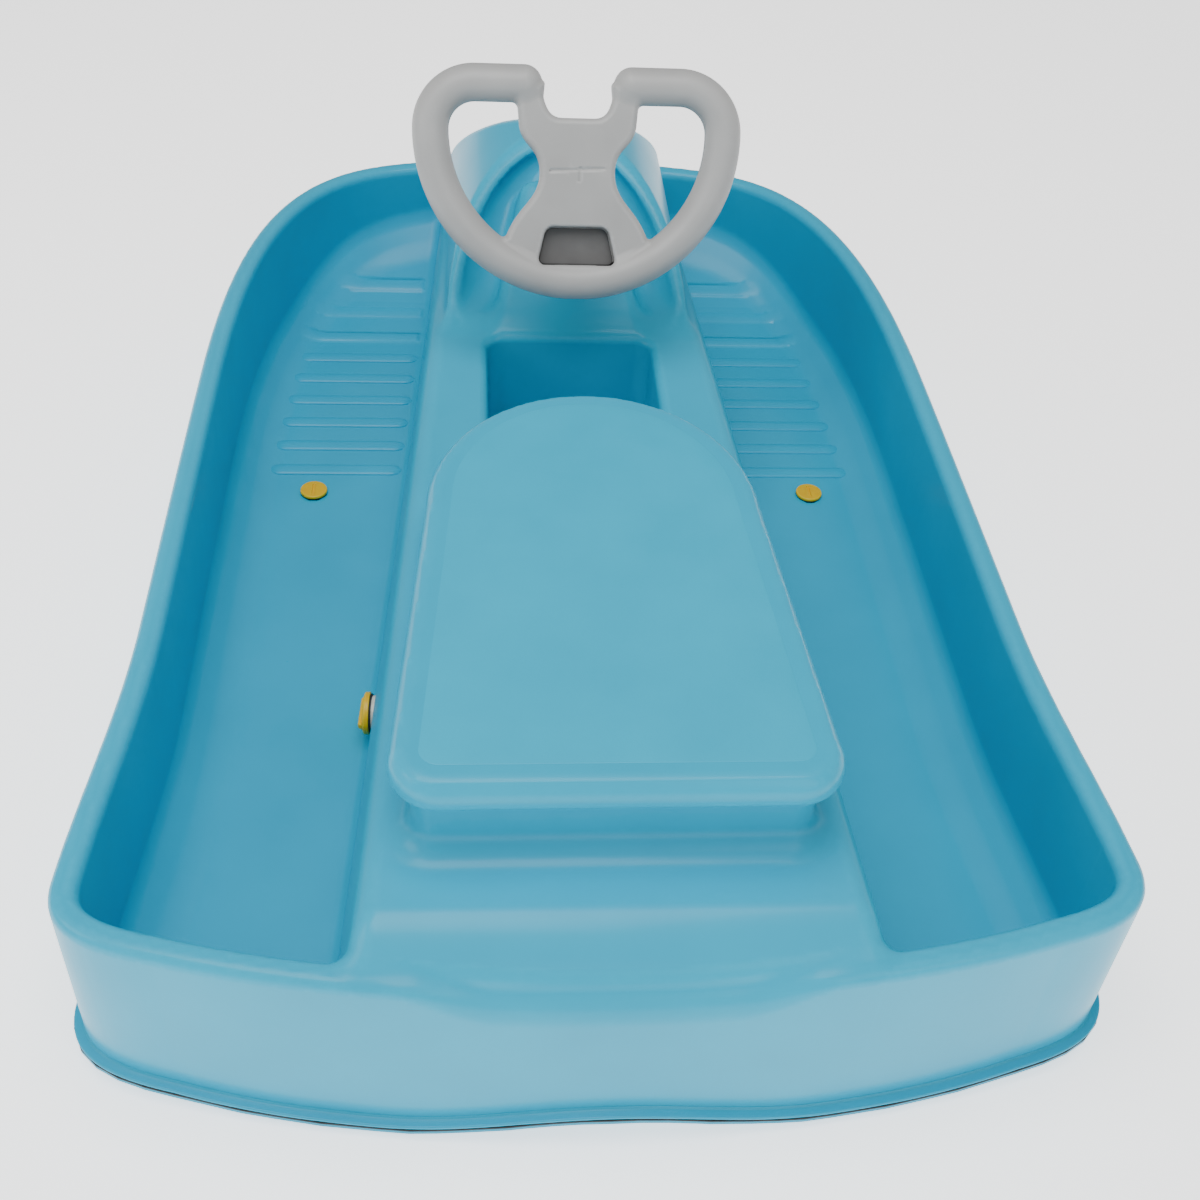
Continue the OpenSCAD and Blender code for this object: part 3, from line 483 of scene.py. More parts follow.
@dataclass(frozen=True)
class Finish:
    """One procedural finish, in Object coordinates."""

    name: str
    slot: Slot
    colour: str
    shade: str
    # Paler colour for convex edges: partly wear, partly painted highlight
    scuffed_and_highlit: str
    roughness: float
    roughness_spread: float
    patch_mm: float
    grain_mm: float
    grain_depth_mm: float
    ior: float = 1.5
    specular: float = 0.5
    metallic: float = 0.0
    coat: float = 0.0
    coat_roughness: float = 0.1
    subsurface: float = 0.0
    stretch: tuple[float, float, float] = (1.0, 1.0, 1.0)
    scuff_and_highlight: bool = False

    def build(self) -> bpy.types.Material:
        """Builds the material's node tree.

        Returns:
            The material.
        """
        material = bpy.data.materials.new(self.name)
        material.use_nodes = True
        tree = material.node_tree
        tree.nodes.clear()
        out = add_node(tree, "ShaderNodeOutputMaterial")
        shader = add_node(tree, "ShaderNodeBsdfPrincipled", values={
            "Metallic": self.metallic, "Coat Weight": self.coat, "Coat Roughness": self.coat_roughness,
            "Subsurface Weight": self.subsurface, "Subsurface Scale": 2 * MM,
        })
        if not self.metallic:
            shader.inputs["IOR"].default_value = self.ior
            shader.inputs["Specular IOR Level"].default_value = self.specular
        tree.links.new(shader.outputs["BSDF"], out.inputs["Surface"])
        spot = add_node(tree, "ShaderNodeTexCoord")
        mapping = add_node(tree, "ShaderNodeMapping", values={"Scale": self.stretch},
                           links={"Vector": spot.outputs["Object"]})
        # Slow drift of colour over a patch, as pigment and wall thickness vary in a mould
        patch = add_node(tree, "ShaderNodeTexNoise", values={
            "Scale": 1 / (self.patch_mm * MM), "Detail": 3.0, "Roughness": 0.5},
            links={"Vector": mapping.outputs["Vector"]})
        drift = add_node(tree, "ShaderNodeMapRange", values={"From Min": 0.3, "From Max": 0.7},
                         links={"Value": patch.outputs["Fac"]})
        base = add_node(tree, "ShaderNodeMix", {"data_type": "RGBA"},
                        links={"Factor": drift.outputs["Result"]})
        base.inputs["A"].default_value = linear(self.colour)
        base.inputs["B"].default_value = linear(self.shade)
        colour = base.outputs["Result"]
        grain = add_node(tree, "ShaderNodeTexNoise", values={
            "Scale": 1 / (self.grain_mm * MM), "Detail": 4.0, "Roughness": 0.55},
            links={"Vector": mapping.outputs["Vector"]})
        if self.scuff_and_highlight:
            # Convex edges are paler and a little duller, speckled by the grain: partly wear from hands and
            # feet, partly painted highlight
            edge = add_node(tree, "ShaderNodeAttribute", {"attribute_name": "edge_wear"})
            scuff_highlight_mix = add_node(tree, "ShaderNodeMath", {"operation": "MULTIPLY"},
                           links={0: edge.outputs["Fac"], 1: grain.outputs["Fac"]})
            scuffed_and_highlit = add_node(tree, "ShaderNodeMix", {"data_type": "RGBA"},
                            links={"Factor": scuff_highlight_mix.outputs["Value"], "A": colour})
            scuffed_and_highlit.inputs["B"].default_value = linear(self.scuffed_and_highlit)
            colour = scuffed_and_highlit.outputs["Result"]
        tree.links.new(colour, shader.inputs["Base Color"])
        rough = add_node(tree, "ShaderNodeMapRange", values={
            "To Min": self.roughness - self.roughness_spread,
            "To Max": self.roughness + self.roughness_spread},
            links={"Value": patch.outputs["Fac"]})
        tree.links.new(rough.outputs["Result"], shader.inputs["Roughness"])
        bump = add_node(tree, "ShaderNodeBump",
                        values={"Strength": 1.0, "Distance": self.grain_depth_mm * MM},
                        links={"Height": grain.outputs["Fac"]})
        tree.links.new(bump.outputs["Normal"], shader.inputs["Normal"])
        return material


# Rotomoulded polyethylene: waxy gloss, faint orange peel from the mould's cast wall
BLUE_HULL = Finish("rotomoulded_polyethylene_cyan", Slot.BLUE, "00a9cc", "00a3c6", "1cb4d6", 0.3, 0.05,
                   90.0, 5.0, 0.05, ior=1.51, specular=0.2, coat=0.08, coat_roughness=0.12, scuff_and_highlight=True)
# The seat's panel is the same plastic off a sandblasted part of the mould: finer, duller grain
BLUE_SEAT = Finish("sandblasted_polyethylene_cyan", Slot.BLUE, "00aed0", "00a8ca", "22b4d6", 0.45, 0.06,
                   60.0, 1.6, 0.12, ior=1.51, specular=0.2)
# Pan under the hull: same plastic, scuffed by pool floors
BLUE_PAN = Finish("scuffed_polyethylene_cyan", Slot.BLUE, "009ebf", "0096b6", "40b6d4", 0.42, 0.12,
                  35.0, 3.0, 0.12, ior=1.51, specular=0.2)
# Injection-moulded polypropylene grip with a satin spark-eroded grain
GREY_WHEEL = Finish("satin_polypropylene_grey", Slot.GREY, "a6a6a5", "9f9f9e", "b8b8b7", 0.42, 0.06,
                    45.0, 1.2, 0.05, ior=1.49, scuff_and_highlight=True)
# Dark grey plate in the wheel's hub pocket: painted shade, standing in for the pocket's shadow
POCKET_SHADE_GREY = Finish("moulded_nylon_dark_grey", Slot.BLACK, "5c5c5c", "545454", "707070", 0.5, 0.06, 20.0,
                  1.0, 0.06, ior=1.53)
YELLOW_PLUG = Finish("injection_moulded_polyethylene_yellow", Slot.YELLOW, "e4b400", "dca900", "ecc828",
                     0.33, 0.06,
                     8.0, 1.0, 0.04, ior=1.51, specular=0.3, scuff_and_highlight=True)
NATURAL_NYLON = Finish("natural_nylon", Slot.NATURAL, "dedcd0", "d4d1c2", "f0eee4", 0.4, 0.06, 12.0, 1.2,
                       0.03, ior=1.53)
BLACK_NYLON = Finish("black_nylon", Slot.BLACK, "26272a", "1e1f21", "3c3d40", 0.42, 0.08, 14.0, 0.9, 0.04,
                     ior=1.53)
NITRILE = Finish("nitrile_rubber", Slot.RUBBER, "232323", "1b1b1b", "333333", 0.72, 0.08, 10.0, 0.8, 0.06,
                 ior=1.52)
# Beads of expanded polyethylene show as a 4 mm pebble
FOAM = Finish("expanded_polyethylene_foam", Slot.FOAM, "f0efe8", "e2e0d6", "ffffff", 0.85, 0.05, 9.0, 4.0,
              0.5)
STAINLESS = Finish("turned_stainless_steel", Slot.STAINLESS, "c4c4c2", "b4b4b2", "dcdcda", 0.26, 0.08,
                   10.0, 0.5, 0.02,
                   metallic=1.0)
# Zinc plate has a crystalline spangle a few millimetres across
ZINC = Finish("galvanised_steel_spangle", Slot.ZINC, "b2b6b8", "9a9fa2", "c8cccc", 0.4, 0.12, 7.0, 1.5,
              0.04,
              metallic=1.0)
# Drawn tube: fine lines along the draw
ALUMINIUM = Finish("drawn_aluminium", Slot.ALUMINIUM, "c6c8cb", "b6b8bb", "dcdde0", 0.34, 0.08, 20.0, 1.0,
                   0.03,
                   metallic=1.0, stretch=(1.0, 0.15, 0.15))
JACKET = Finish("vinyl_cable_jacket", Slot.JACKET, "1f2022", "18191a", "303133", 0.45, 0.06, 8.0, 0.8,
                0.05, ior=1.52)
FINISHES = (BLUE_HULL, BLUE_SEAT, BLUE_PAN, GREY_WHEEL, YELLOW_PLUG, POCKET_SHADE_GREY, NATURAL_NYLON, BLACK_NYLON,
            NITRILE,
            FOAM, STAINLESS, ZINC, ALUMINIUM, JACKET)


class Wardrobe:
    """Built materials, and the dressing of pieces and carried-over nodes."""

    def __init__(self, frame: dict[str, Any]) -> None:
        """Builds every finish once."""
        self.frame = frame
        self.built = {finish.name: finish.build() for finish in FINISHES}
        self.by_slot = {finish.slot.value: finish for finish in reversed(FINISHES)
                        if finish is not POCKET_SHADE_GREY}

    def dress(self, piece: bpy.types.Object, finish: Finish, body: str, nodes: Sequence[str] = ()) -> None:
        """Gives a piece its finish, its body and the nodes it stands for.

        Args:
            piece: The finished piece.
            finish: Its finish.
            body: The body that it rides on.
            nodes: Nodes that it replaces.
        """
        piece.data.materials.clear()
        piece.data.materials.append(self.built[finish.name])
        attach(piece, body)
        if nodes:
            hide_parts(*nodes)
        piece.data.calc_loop_triangles()
        LOG.info("%s: %d triangles on %s, for %s", piece.name, len(piece.data.loop_triangles), body,
                 list(nodes))

    def dress_nodes(self) -> None:
        """Gives every node that still shows the finish of its slot."""
        slots = {row["node"]: row["material_slot"] for row in self.frame["record"]["subparts"]}
        for name, node in self.frame["nodes"].items():
            if node.hide_render:
                continue
            finish = BLUE_PAN if name == "bottom_pan" else self.by_slot[slots[name]]
            material = self.built[finish.name]
            if not node.material_slots:
                node.data.materials.append(material)
            for place in node.material_slots:
                place.material = material
            LOG.info("%s keeps its own mesh, finish %s", name, finish.name)


# ---- hull -------------------------------------------------------------------


@dataclass(frozen=True)
class Plane:
    """A plane right across the boat: a point on it and its outward unit normal."""

    y: float
    z: float
    out_y: float
    out_z: float

    def over(self, y: Array, z: Array) -> Array:
        """Distance from the plane, positive on its outer side."""
        return self.out_z * (z - self.z) + self.out_y * (y - self.y)


@dataclass
class HullSizes:
    """Sizes of the deck moulding, in millimetres."""

    length: float = 1166.0
    beam: float = 750.0
    mid_beam: float = 712.0
    rim_z: float = 170.0
    rim_w: float = 20.0
    wall: float = 3.5
    floor_z: float = 34.0
    chine_w: float = 30.0
    chine_h: float = 21.0
    stern_corner: float = 75.0
    transom_bow: float = 38.0
    stem_x: float = 245.0
    foot_low: float = 13.0
    foot_arch: float = 20.0
    foot_side: float = 7.0
    lobe_x: float = 180.0
    lobe_flat: float = 20.0
    bead_w: float = 8.0
    bead_t: float = 3.0
    ped_stern: float = 198.0
    ped_bow: float = 135.0
    flank_in: float = 26.0
    flank_bow_in: float = 20.0
    shelf_z: float = 192.0
    seat_z: float = 270.0
    seat_t: float = 26.0
    seat_rear: float = 150.0
    seat_front: float = 131.0
    seat_l: float = 440.0
    seat_back: float = 495.0
    seat_corner: float = 34.0
    seat_arch: float = 145.0
    neck_in: float = 14.0
    recess_x: float = 80.0
    recess_y0: float = -73.0
    recess_y1: float = 152.0
    recess_z: float = 92.0
    hood_r: float = 120.0
    hood_y: float = 168.0
    crest_y: float = 372.0
    crest_z: float = 320.0
    hood_band: float = 10.0
    shroud_foot: float = 80.0
    shroud_top: float = 46.0
    shroud_y1: float = 312.0
    drain_x: float = 255.0
    drain_y: float = 105.0
    drain_r: float = 10.0
    bung_y: float = 231.0
    bung_z: float = 62.0
    bung_hole_r: float = 15.1
    tread_y0: float = 142.5
    tread_pitch: float = 42.0
    tread_half: float = 8.5
    hood_roof: Plane = Plane(418.0, 314.0, 0.1293, 0.9916)
    hood_back: Plane = Plane(394.0, 314.0, 0.6438, 0.7652)
    scoop_back: Plane = Plane(212.0, 196.0, -0.4985, 0.8669)
    shroud_ramp: Plane = Plane(168.0, 199.0, -0.507, 0.8619)


class Deck:
    """The deck moulding: tub, pedestal, seat, recess and console, in one skin."""

    def __init__(self, wardrobe: Wardrobe) -> None:
        """Lays out the hull's and the seat's outlines."""
        self.wardrobe = wardrobe
        self.s = HullSizes()
        s = self.s
        hl, hw, mw = s.length / 2, s.beam / 2, s.mid_beam / 2
        cx, cy = hw - s.stern_corner, -hl + s.transom_bow
        side = -hl + s.transom_bow + s.stern_corner - 10
        stem_y = hl - 46
        half = (
            bezier((0, -hl), (cx * 0.4, -hl), (cx * 0.77, -hl + s.transom_bow * 0.47), (cx, cy), 60)
            + bezier((cx, cy), (cx + 45, cy + 11), (hw + 1, cy + 25), (hw - 1, side), 60)
            + bezier((hw - 1, side), (hw - 5, side + 80), (mw, side + 150), (mw, side + 250), 60)
            + bezier((mw, side + 250), (mw, side + 380), (mw, hl - 533), (mw - 1, hl - 443), 40)
            + bezier((mw - 1, hl - 443), (mw - 4, hl - 233), (s.stem_x + 77, hl - 103),
                     (s.stem_x, stem_y), 90)
            + bezier((s.stem_x, stem_y), (s.stem_x - 55, hl - 5), (s.stem_x * 0.41, hl), (0, hl), 70)
            + [(0, hl)]
        )
        self.outline = Outline(half, 2.5, 24.0)
        y0, y1 = -s.seat_back, -s.seat_back + s.seat_l
        corner, arch = s.seat_corner, s.seat_arch
        seat = [(0.0, y0)]
        seat += [(s.seat_rear - corner + corner * math.cos(a), y0 + corner + corner * math.sin(a))
                 for a in np.radians(np.linspace(-90, 0, 30))]
        seat += [(s.seat_front * math.cos(a), y1 - arch + arch * math.sin(a))
                 for a in np.radians(np.linspace(0, 90, 80))]
        self.seat_outline = Outline(seat, 2.0, 60.0)

    def foot_z(self, x: Array) -> Array:
        """Height of the skirt's foot at a distance from the centre line."""
        s = self.s
        a = np.abs(x)
        u = np.clip(a / (s.lobe_x - s.lobe_flat), 0, 1)
        v = np.clip((a - s.lobe_x - s.lobe_flat) / (s.beam / 2 - s.lobe_x - s.lobe_flat), 0, 1)
        return (s.foot_low + s.foot_arch * (1 + np.cos(math.pi * u)) / 2
                + s.foot_side * (1 - np.cos(math.pi * v)) / 2)

    def ped_half(self, y: Array) -> Array:
        """Half width of the pedestal at floor level."""
        s = self.s
        return s.ped_stern + (s.ped_bow - s.ped_stern) * (y + s.length / 2) / s.length

    def tub(self, ax: Array, y: Array, z: Array, hull: Array) -> Array:
        """The skirt, the rolled rim, the inner wall, its bevel and the floor."""
        s = self.s
        # The rim's outer edge opens out where the step runs over the transom
        over_step = ease((150 - ax) / 70) * ease(-y / 200)
        outer = round_max(hull, z - s.rim_z + 3.0 * over_step, 8.0 + 22.0 * over_step)
        floor = np.interp(y, (380, 405, 430, 455, 480, 505, 530, 556, 583),
                          (34, 35.5, 39.5, 46, 55, 65.5, 77, 89, 101))
        bevel = ((hull + s.rim_w + s.chine_w * (1 - (z - floor) / s.chine_h))
                 / math.hypot(1, s.chine_w / s.chine_h))
        # Three more treads, moulded on the toe ramp
        from_tread = (y - s.tread_y0) / s.tread_pitch
        from_tread = np.abs(from_tread - np.round(from_tread)) * s.tread_pitch / s.tread_half
        on_ramp = ease((y - 370) / 6) * ease((504 - y) / 6) * ease((ax - self.ped_half(y) - 8) / 6)
        floor = floor + 2.6 * np.sqrt(np.clip(1 - from_tread**2, 0, 1)) * on_ramp
        cavity = round_max(round_max(hull + s.rim_w, bevel, 8.0), floor - z, 8.0)
        return round_max(outer, -cavity, 8.0)

    def console(self, ax: Array, y: Array, z: Array) -> Array:
        """The hood with its two scoops, the shroud and the boss of the column."""
        s = self.s
        arch = np.where(z > s.shelf_z, np.hypot(ax, z - s.shelf_z), ax)
        a = math.atan2(s.crest_z - s.shelf_z, s.crest_y - s.hood_y)
        face = (z - s.shelf_z) * math.cos(a) - (y - s.hood_y) * math.sin(a)
        crown = round_max(s.hood_roof.over(y, z), s.hood_back.over(y, z), 24.0)
        hood = round_max(round_max(arch - s.hood_r, face, 4.0), crown, 9.0)
        scoop_side = (arch - s.hood_r + s.hood_band - 0.7 * np.maximum(face, -40)) * 0.82
        scoop = round_max(round_max(scoop_side, -s.scoop_back.over(y, z), 18.0), 197 - z, 14.0)
        width = (s.shroud_foot
                 + (s.shroud_top - s.shroud_foot) * (y - s.recess_y1) / (s.shroud_y1 - s.recess_y1))
        sides = round_max((ax - width) * 0.975, s.shroud_ramp.over(y, z), 14.0)
        shroud = round_max(sides, s.recess_y1 - y, 24.0)
        shroud = np.maximum(round_max(shroud, y - s.shroud_y1, 12.0), arch - s.hood_r + 1)
        whole = round_min(round_max(hood, -scoop, 4.0), shroud, 14.0)
        along = (y - WHEEL.hub_y) * WHEEL.cos - (z - WHEEL.hub_z) * WHEEL.sin
        away = np.hypot(ax, (y - WHEEL.hub_y) * WHEEL.sin + (z - WHEEL.hub_z) * WHEEL.cos)
        boss = np.maximum(round_max(away - 20.9, 48.2 - along, 4.0), along - 232)
        return round_min(whole, boss, 14.0)

    def field(self, x: Array, y: Array, z: Array) -> Array:
        """The deck's outer surface as a field; below the floor it is all solid.

        Args:
            x: Across, in millimetres.
            y: Along, in millimetres.
            z: Up, in millimetres.

        Returns:
            Signed distance, negative in the plastic.
        """
        s = self.s
        ax = np.abs(x)
        hull = self.outline(ax, y)
        tilt = 1 / math.hypot(1, (s.ped_stern - s.ped_bow) / s.length)
        side = (ax - self.ped_half(y)) * tilt
        # The flanks lean in as they rise; behind the seat the shelf sweeps down to the transom
        lean = s.flank_in + (s.flank_bow_in - s.flank_in) * (y + s.length / 2) / s.length
        rise = np.clip((z - s.floor_z) / (s.shelf_z - s.floor_z), 0, 1.2) ** 1.6
        shelf = 167.0 + (s.shelf_z - 167.0) * ease((y + 580) / 54)
        block = round_max((side + lean * rise) * 0.98, z - shelf, 14.0)
        block = round_max(block, hull + 12.0, 8.0)
        seat = self.seat_outline(ax, y)
        neck = np.maximum(seat + s.neck_in, z - s.seat_z + 8)
        slab = round_max(round_max(seat, z - s.seat_z, 13.0), s.seat_z - s.seat_t - z, 10.0)
        mass = round_min(block, neck, 22.0)
        mass = round_min(mass, round_max(self.console(ax, y, z), hull + 20.0, 12.0), 12.0)
        middle = (s.recess_y0 + s.recess_y1) / 2
        reach = (s.recess_y1 - s.recess_y0) / 2
        recess = round_max(round_max(ax - s.recess_x, np.abs(y - middle) - reach, 16.0),
                           s.recess_z - z, 12.0)
        mass = round_max(mass, -np.maximum(recess, z - 242), 9.0)
        mass = round_min(mass, slab, 12.0)
        corner = 3.0 + 9.0 * np.maximum(ease((ax - 110) / 50), ease((y + 520) / 20))
        whole = np.maximum(round_min(self.tub(ax, y, z, hull), mass, corner), hull)
        drain = np.hypot(ax - s.drain_x, y - s.drain_y) - s.drain_r
        whole = np.maximum(whole, -np.maximum(drain, z - 45))
        turn = math.atan2(s.ped_stern - s.ped_bow, s.length)
        bx = -self.ped_half(-s.bung_y)
        out = -(x - bx) * math.cos(turn) + (y + s.bung_y) * math.sin(turn)
        along = (x - bx) * math.sin(turn) + (y + s.bung_y) * math.cos(turn)
        bore = np.hypot(along, z - s.bung_z) - s.bung_hole_r
        return np.maximum(whole, -np.maximum(bore, np.abs(out) - 27))

    def build_skin(self) -> bpy.types.Object:
        """Builds the deck's one skin with its wall thickness."""
        s = self.s
        cell = 4.0
        hl, hw = s.length / 2, s.beam / 2
        skin = surface_nets(self.field, (-hw - cell, -hl - cell, 2.0), (hw + cell, hl + cell, 330.0), cell)
        skin.verts = settle(self.field, skin.verts, 3, cell * 0.6)
        foot = self.foot_z(skin.verts[:, 0])
        below = skin.verts[:, 2] < foot
        skin.faces = skin.faces[~below[skin.faces].all(1)]
        skin.verts[:, 2] = np.maximum(skin.verts[:, 2], foot)
        skin = thinned(skin, 92000)
        fixed = skin.verts[:, 2] > self.foot_z(skin.verts[:, 0]) + 1
        moved = settle(self.field, skin.verts, 2, 1.0)
        skin.verts[fixed] = moved[fixed]
        _value, grad, bend = slope(self.field, skin.verts, 0.5)
        normals = grad / np.maximum(np.linalg.norm(grad, axis=1), 1e-9)[:, None]
        solid, both = walled(skin, normals, s.wall)
        # Convex edges get the paler edge colour, partly wear and partly painted highlight; the inner side
        # gets none
        scuff_and_highlight = np.clip(bend * 6.0, 0, 1)
        return finish_skin("deck_moulding", solid, both, np.concatenate([scuff_and_highlight, scuff_and_highlight * 0]))

    def build_bead(self) -> bpy.types.Object:
        """Sweeps the out-turned bead along the foot of the skirt."""
        s = self.s
        ring = self.outline.points[::3]
        normals = self.outline.normals[::3]
        profile = [(-3.0, 0.0), (s.bead_w - 2, 0.0)]
        profile += [(s.bead_w - 1.9 + 1.5 * math.sin(a), 1.5 - 1.5 * math.cos(a))
                    for a in np.radians(np.linspace(15, 165, 7))]
        profile += [(s.bead_w - 2, s.bead_t), (1.6, s.bead_t), (0.7, s.bead_t + 0.4),
                    (0.1, s.bead_t + 1.6), (-3.0, s.bead_t + 2)]
        foot = self.foot_z(ring[:, 0])
        rows = [np.column_stack([ring + normals * d, foot + h + 0.02]) for d, h in profile]
        verts = np.stack(rows, 1).reshape(-1, 3)
        n, m = len(ring), len(profile)
        faces = [(i * m + k, ((i + 1) % n) * m + k, ((i + 1) % n) * m + (k + 1) % m, i * m + (k + 1) % m)
                 for i in range(n) for k in range(m)]
        return new_mesh("deck_foot_bead", verts, faces)

    def build_panel(self) -> bpy.types.Object:
        """Builds the seat's textured panel, a shallow raised field inside its border."""
        s = self.s
        border = self.seat_outline
        inset_by, height = 20.0, 0.7
        pts = border.points[::2] - border.normals[::2] * inset_by
        inner = border.points[::2] - border.normals[::2] * (inset_by + 1.4)
        centre = np.array([0.0, -s.seat_back + s.seat_l * 0.45])
        n = len(pts)
        rows = [np.column_stack([pts, np.full(n, s.seat_z - 0.6)]),
                np.column_stack([pts, np.full(n, s.seat_z + height * 0.45)]),
                np.column_stack([(pts * 0.55 + inner * 0.45), np.full(n, s.seat_z + height * 0.85)]),
                np.column_stack([inner, np.full(n, s.seat_z + height)])]
        for share in (0.94, 0.8, 0.55, 0.25):
            rows.append(np.column_stack([centre + (inner - centre) * share, np.full(n, s.seat_z + height)]))
        low = [np.column_stack([centre + (pts - centre) * share, np.full(n, s.seat_z - 0.6)])
               for share in (0.25, 0.8)]
        rows = low + rows
        verts = np.vstack(rows + [np.array([[*centre, s.seat_z + height], [*centre, s.seat_z - 0.6]])])
        count = len(rows)
        faces: list[tuple[int, ...]] = []
        for k in range(count - 1):
            for i in range(n):
                j = (i + 1) % n
                faces.append((k * n + i, k * n + j, (k + 1) * n + j, (k + 1) * n + i))
        top, bottom = count * n, count * n + 1
        for i in range(n):
            j = (i + 1) % n
            faces.append(((count - 1) * n + i, (count - 1) * n + j, top))
            faces.append((j, i, bottom))
        return new_mesh("seat_panel", verts, faces)

    def build(self) -> None:
        """Builds and dresses the deck's pieces."""
        skin = self.build_skin()
        self.wardrobe.dress(skin, BLUE_HULL, "root", ["deck_shell"])
        self.wardrobe.dress(self.build_bead(), BLUE_HULL, "root")
        self.wardrobe.dress(self.build_panel(), BLUE_SEAT, "root")


@dataclass
class RibRow:
    """One row of low foot treads, made by a geometry tree."""

    count: int = 6
    length: float = 138.0
    width: float = 17.0
    height: float = 3.0
    fade: float = 0.06

    def tree(self, material: bpy.types.Material, deck: Deck) -> bpy.types.NodeTree:
        """Builds the tree that lays the ribs out and gives them their rounded section.

        Args:
            material: The ribs' finish.
            deck: The deck, whose floor and pedestal the ribs follow.

        Returns:
            The geometry tree.
        """
        s = deck.s
        tree = bpy.data.node_groups.new("tread_row", "GeometryNodeTree")
        face = tree.interface
        face.new_socket("Geometry", in_out="OUTPUT", socket_type="NodeSocketGeometry")
        for name, kind, value in (
            ("Count", "NodeSocketInt", self.count),
            ("Pitch", "NodeSocketFloat", s.tread_pitch * MM),
            ("First Y", "NodeSocketFloat", s.tread_y0 * MM),
            ("Length", "NodeSocketFloat", self.length * MM),
            ("Half Width", "NodeSocketFloat", self.width * MM / 2),
            ("Height", "NodeSocketFloat", self.height * MM),
            ("Start X", "NodeSocketFloat", float(deck.ped_half(s.tread_y0) + 8) * MM),
            ("Taper", "NodeSocketFloat", (s.ped_stern - s.ped_bow) / s.length),
            ("Floor Z", "NodeSocketFloat", s.floor_z * MM),
            ("Side", "NodeSocketFloat", 1.0),
        ):
            face.new_socket(name, in_out="INPUT", socket_type=kind).default_value = value
        given = add_node(tree, "NodeGroupInput").outputs
        line = add_node(tree, "GeometryNodeCurvePrimitiveLine", values={"Start": (0, 0, 0)})
        end = add_node(tree, "ShaderNodeCombineXYZ", links={"X": given["Length"]})
        tree.links.new(end.outputs["Vector"], line.inputs["End"])
        spine = add_node(tree, "GeometryNodeResampleCurve", values={"Count": 28},
                         links={"Curve": line.outputs["Curve"]})
        along = add_node(tree, "GeometryNodeSplineParameter")
        # Both ends fade away: the radius is the root of the share of the fade that is past
        other = add_node(tree, "ShaderNodeMath", {"operation": "SUBTRACT"}, {0: 1.0},
                         {1: along.outputs["Factor"]})
        least = add_node(tree, "ShaderNodeMath", {"operation": "MINIMUM"},
                         links={0: along.outputs["Factor"], 1: other.outputs[0]})
        grown = add_node(tree, "ShaderNodeMath", {"operation": "MULTIPLY", "use_clamp": True},
                         {1: 1 / self.fade}, {0: least.outputs[0]})
        root = add_node(tree, "ShaderNodeMath", {"operation": "SQRT"}, links={0: grown.outputs[0]})
        floor = add_node(tree, "ShaderNodeMath", {"operation": "MAXIMUM"}, {1: 0.05}, {0: root.outputs[0]})
        ball = add_node(tree, "GeometryNodeSetCurveRadius",
                        links={"Curve": spine.outputs["Curve"], "Radius": floor.outputs[0]})
        section = add_node(tree, "GeometryNodeCurvePrimitiveCircle",
                           values={"Resolution": 20, "Radius": 1.0})
        squeeze = add_node(tree, "ShaderNodeCombineXYZ", values={"Z": 1.0},
                           links={"X": given["Half Width"], "Y": given["Height"]})
        oval = add_node(tree, "GeometryNodeTransform",
                        links={"Geometry": section.outputs["Curve"], "Scale": squeeze.outputs["Vector"]})
        rib = add_node(tree, "GeometryNodeCurveToMesh", values={"Fill Caps": True},
                       links={"Curve": ball.outputs["Curve"], "Profile Curve": oval.outputs["Geometry"]})
        if "Scale" in rib.inputs:
            tree.links.new(floor.outputs[0], rib.inputs["Scale"])
        row = add_node(tree, "GeometryNodeMeshLine", links={"Count": given["Count"]})
        step = add_node(tree, "ShaderNodeCombineXYZ", links={"Y": given["Pitch"]})
        tree.links.new(step.outputs["Vector"], row.inputs["Offset"])
        number = add_node(tree, "GeometryNodeInputIndex")
        ahead = add_node(tree, "ShaderNodeMath", {"operation": "MULTIPLY"},
                         links={0: number.outputs[0], 1: given["Pitch"]})
        drawn = add_node(tree, "ShaderNodeMath", {"operation": "MULTIPLY"},
                         links={0: ahead.outputs[0], 1: given["Taper"]})
        start = add_node(tree, "ShaderNodeMath", {"operation": "SUBTRACT"},
                         links={0: given["Start X"], 1: drawn.outputs[0]})
        place_y = add_node(tree, "ShaderNodeMath", {"operation": "ADD"},
                           links={0: ahead.outputs[0], 1: given["First Y"]})
        placed = add_node(tree, "ShaderNodeCombineXYZ",
                          links={"X": start.outputs[0], "Y": place_y.outputs[0], "Z": given["Floor Z"]})
        points = add_node(tree, "GeometryNodeSetPosition",
                          links={"Geometry": row.outputs["Mesh"], "Position": placed.outputs["Vector"]})
        laid = add_node(tree, "GeometryNodeInstanceOnPoints",
                        links={"Points": points.outputs["Geometry"], "Instance": rib.outputs["Mesh"]})
        real = add_node(tree, "GeometryNodeRealizeInstances", links={"Geometry": laid.outputs["Instances"]})
        spot = add_node(tree, "GeometryNodeInputPosition")
        split = add_node(tree, "ShaderNodeSeparateXYZ", links={"Vector": spot.outputs["Position"]})
        sided = add_node(tree, "ShaderNodeMath", {"operation": "MULTIPLY"},
                         links={0: split.outputs["X"], 1: given["Side"]})
        joined = add_node(tree, "ShaderNodeCombineXYZ",
                          links={"X": sided.outputs[0], "Y": split.outputs["Y"], "Z": split.outputs["Z"]})
        mirrored = add_node(tree, "GeometryNodeSetPosition",
                            links={"Geometry": real.outputs["Geometry"],
                                   "Position": joined.outputs["Vector"]})
        soft = add_node(tree, "GeometryNodeSetShadeSmooth",
                        links={"Geometry": mirrored.outputs["Geometry"]})
        dressed = add_node(tree, "GeometryNodeSetMaterial", values={"Material": material},
                           links={"Geometry": soft.outputs["Geometry"]})
        add_node(tree, "NodeGroupOutput", links={"Geometry": dressed.outputs["Geometry"]})
        return tree

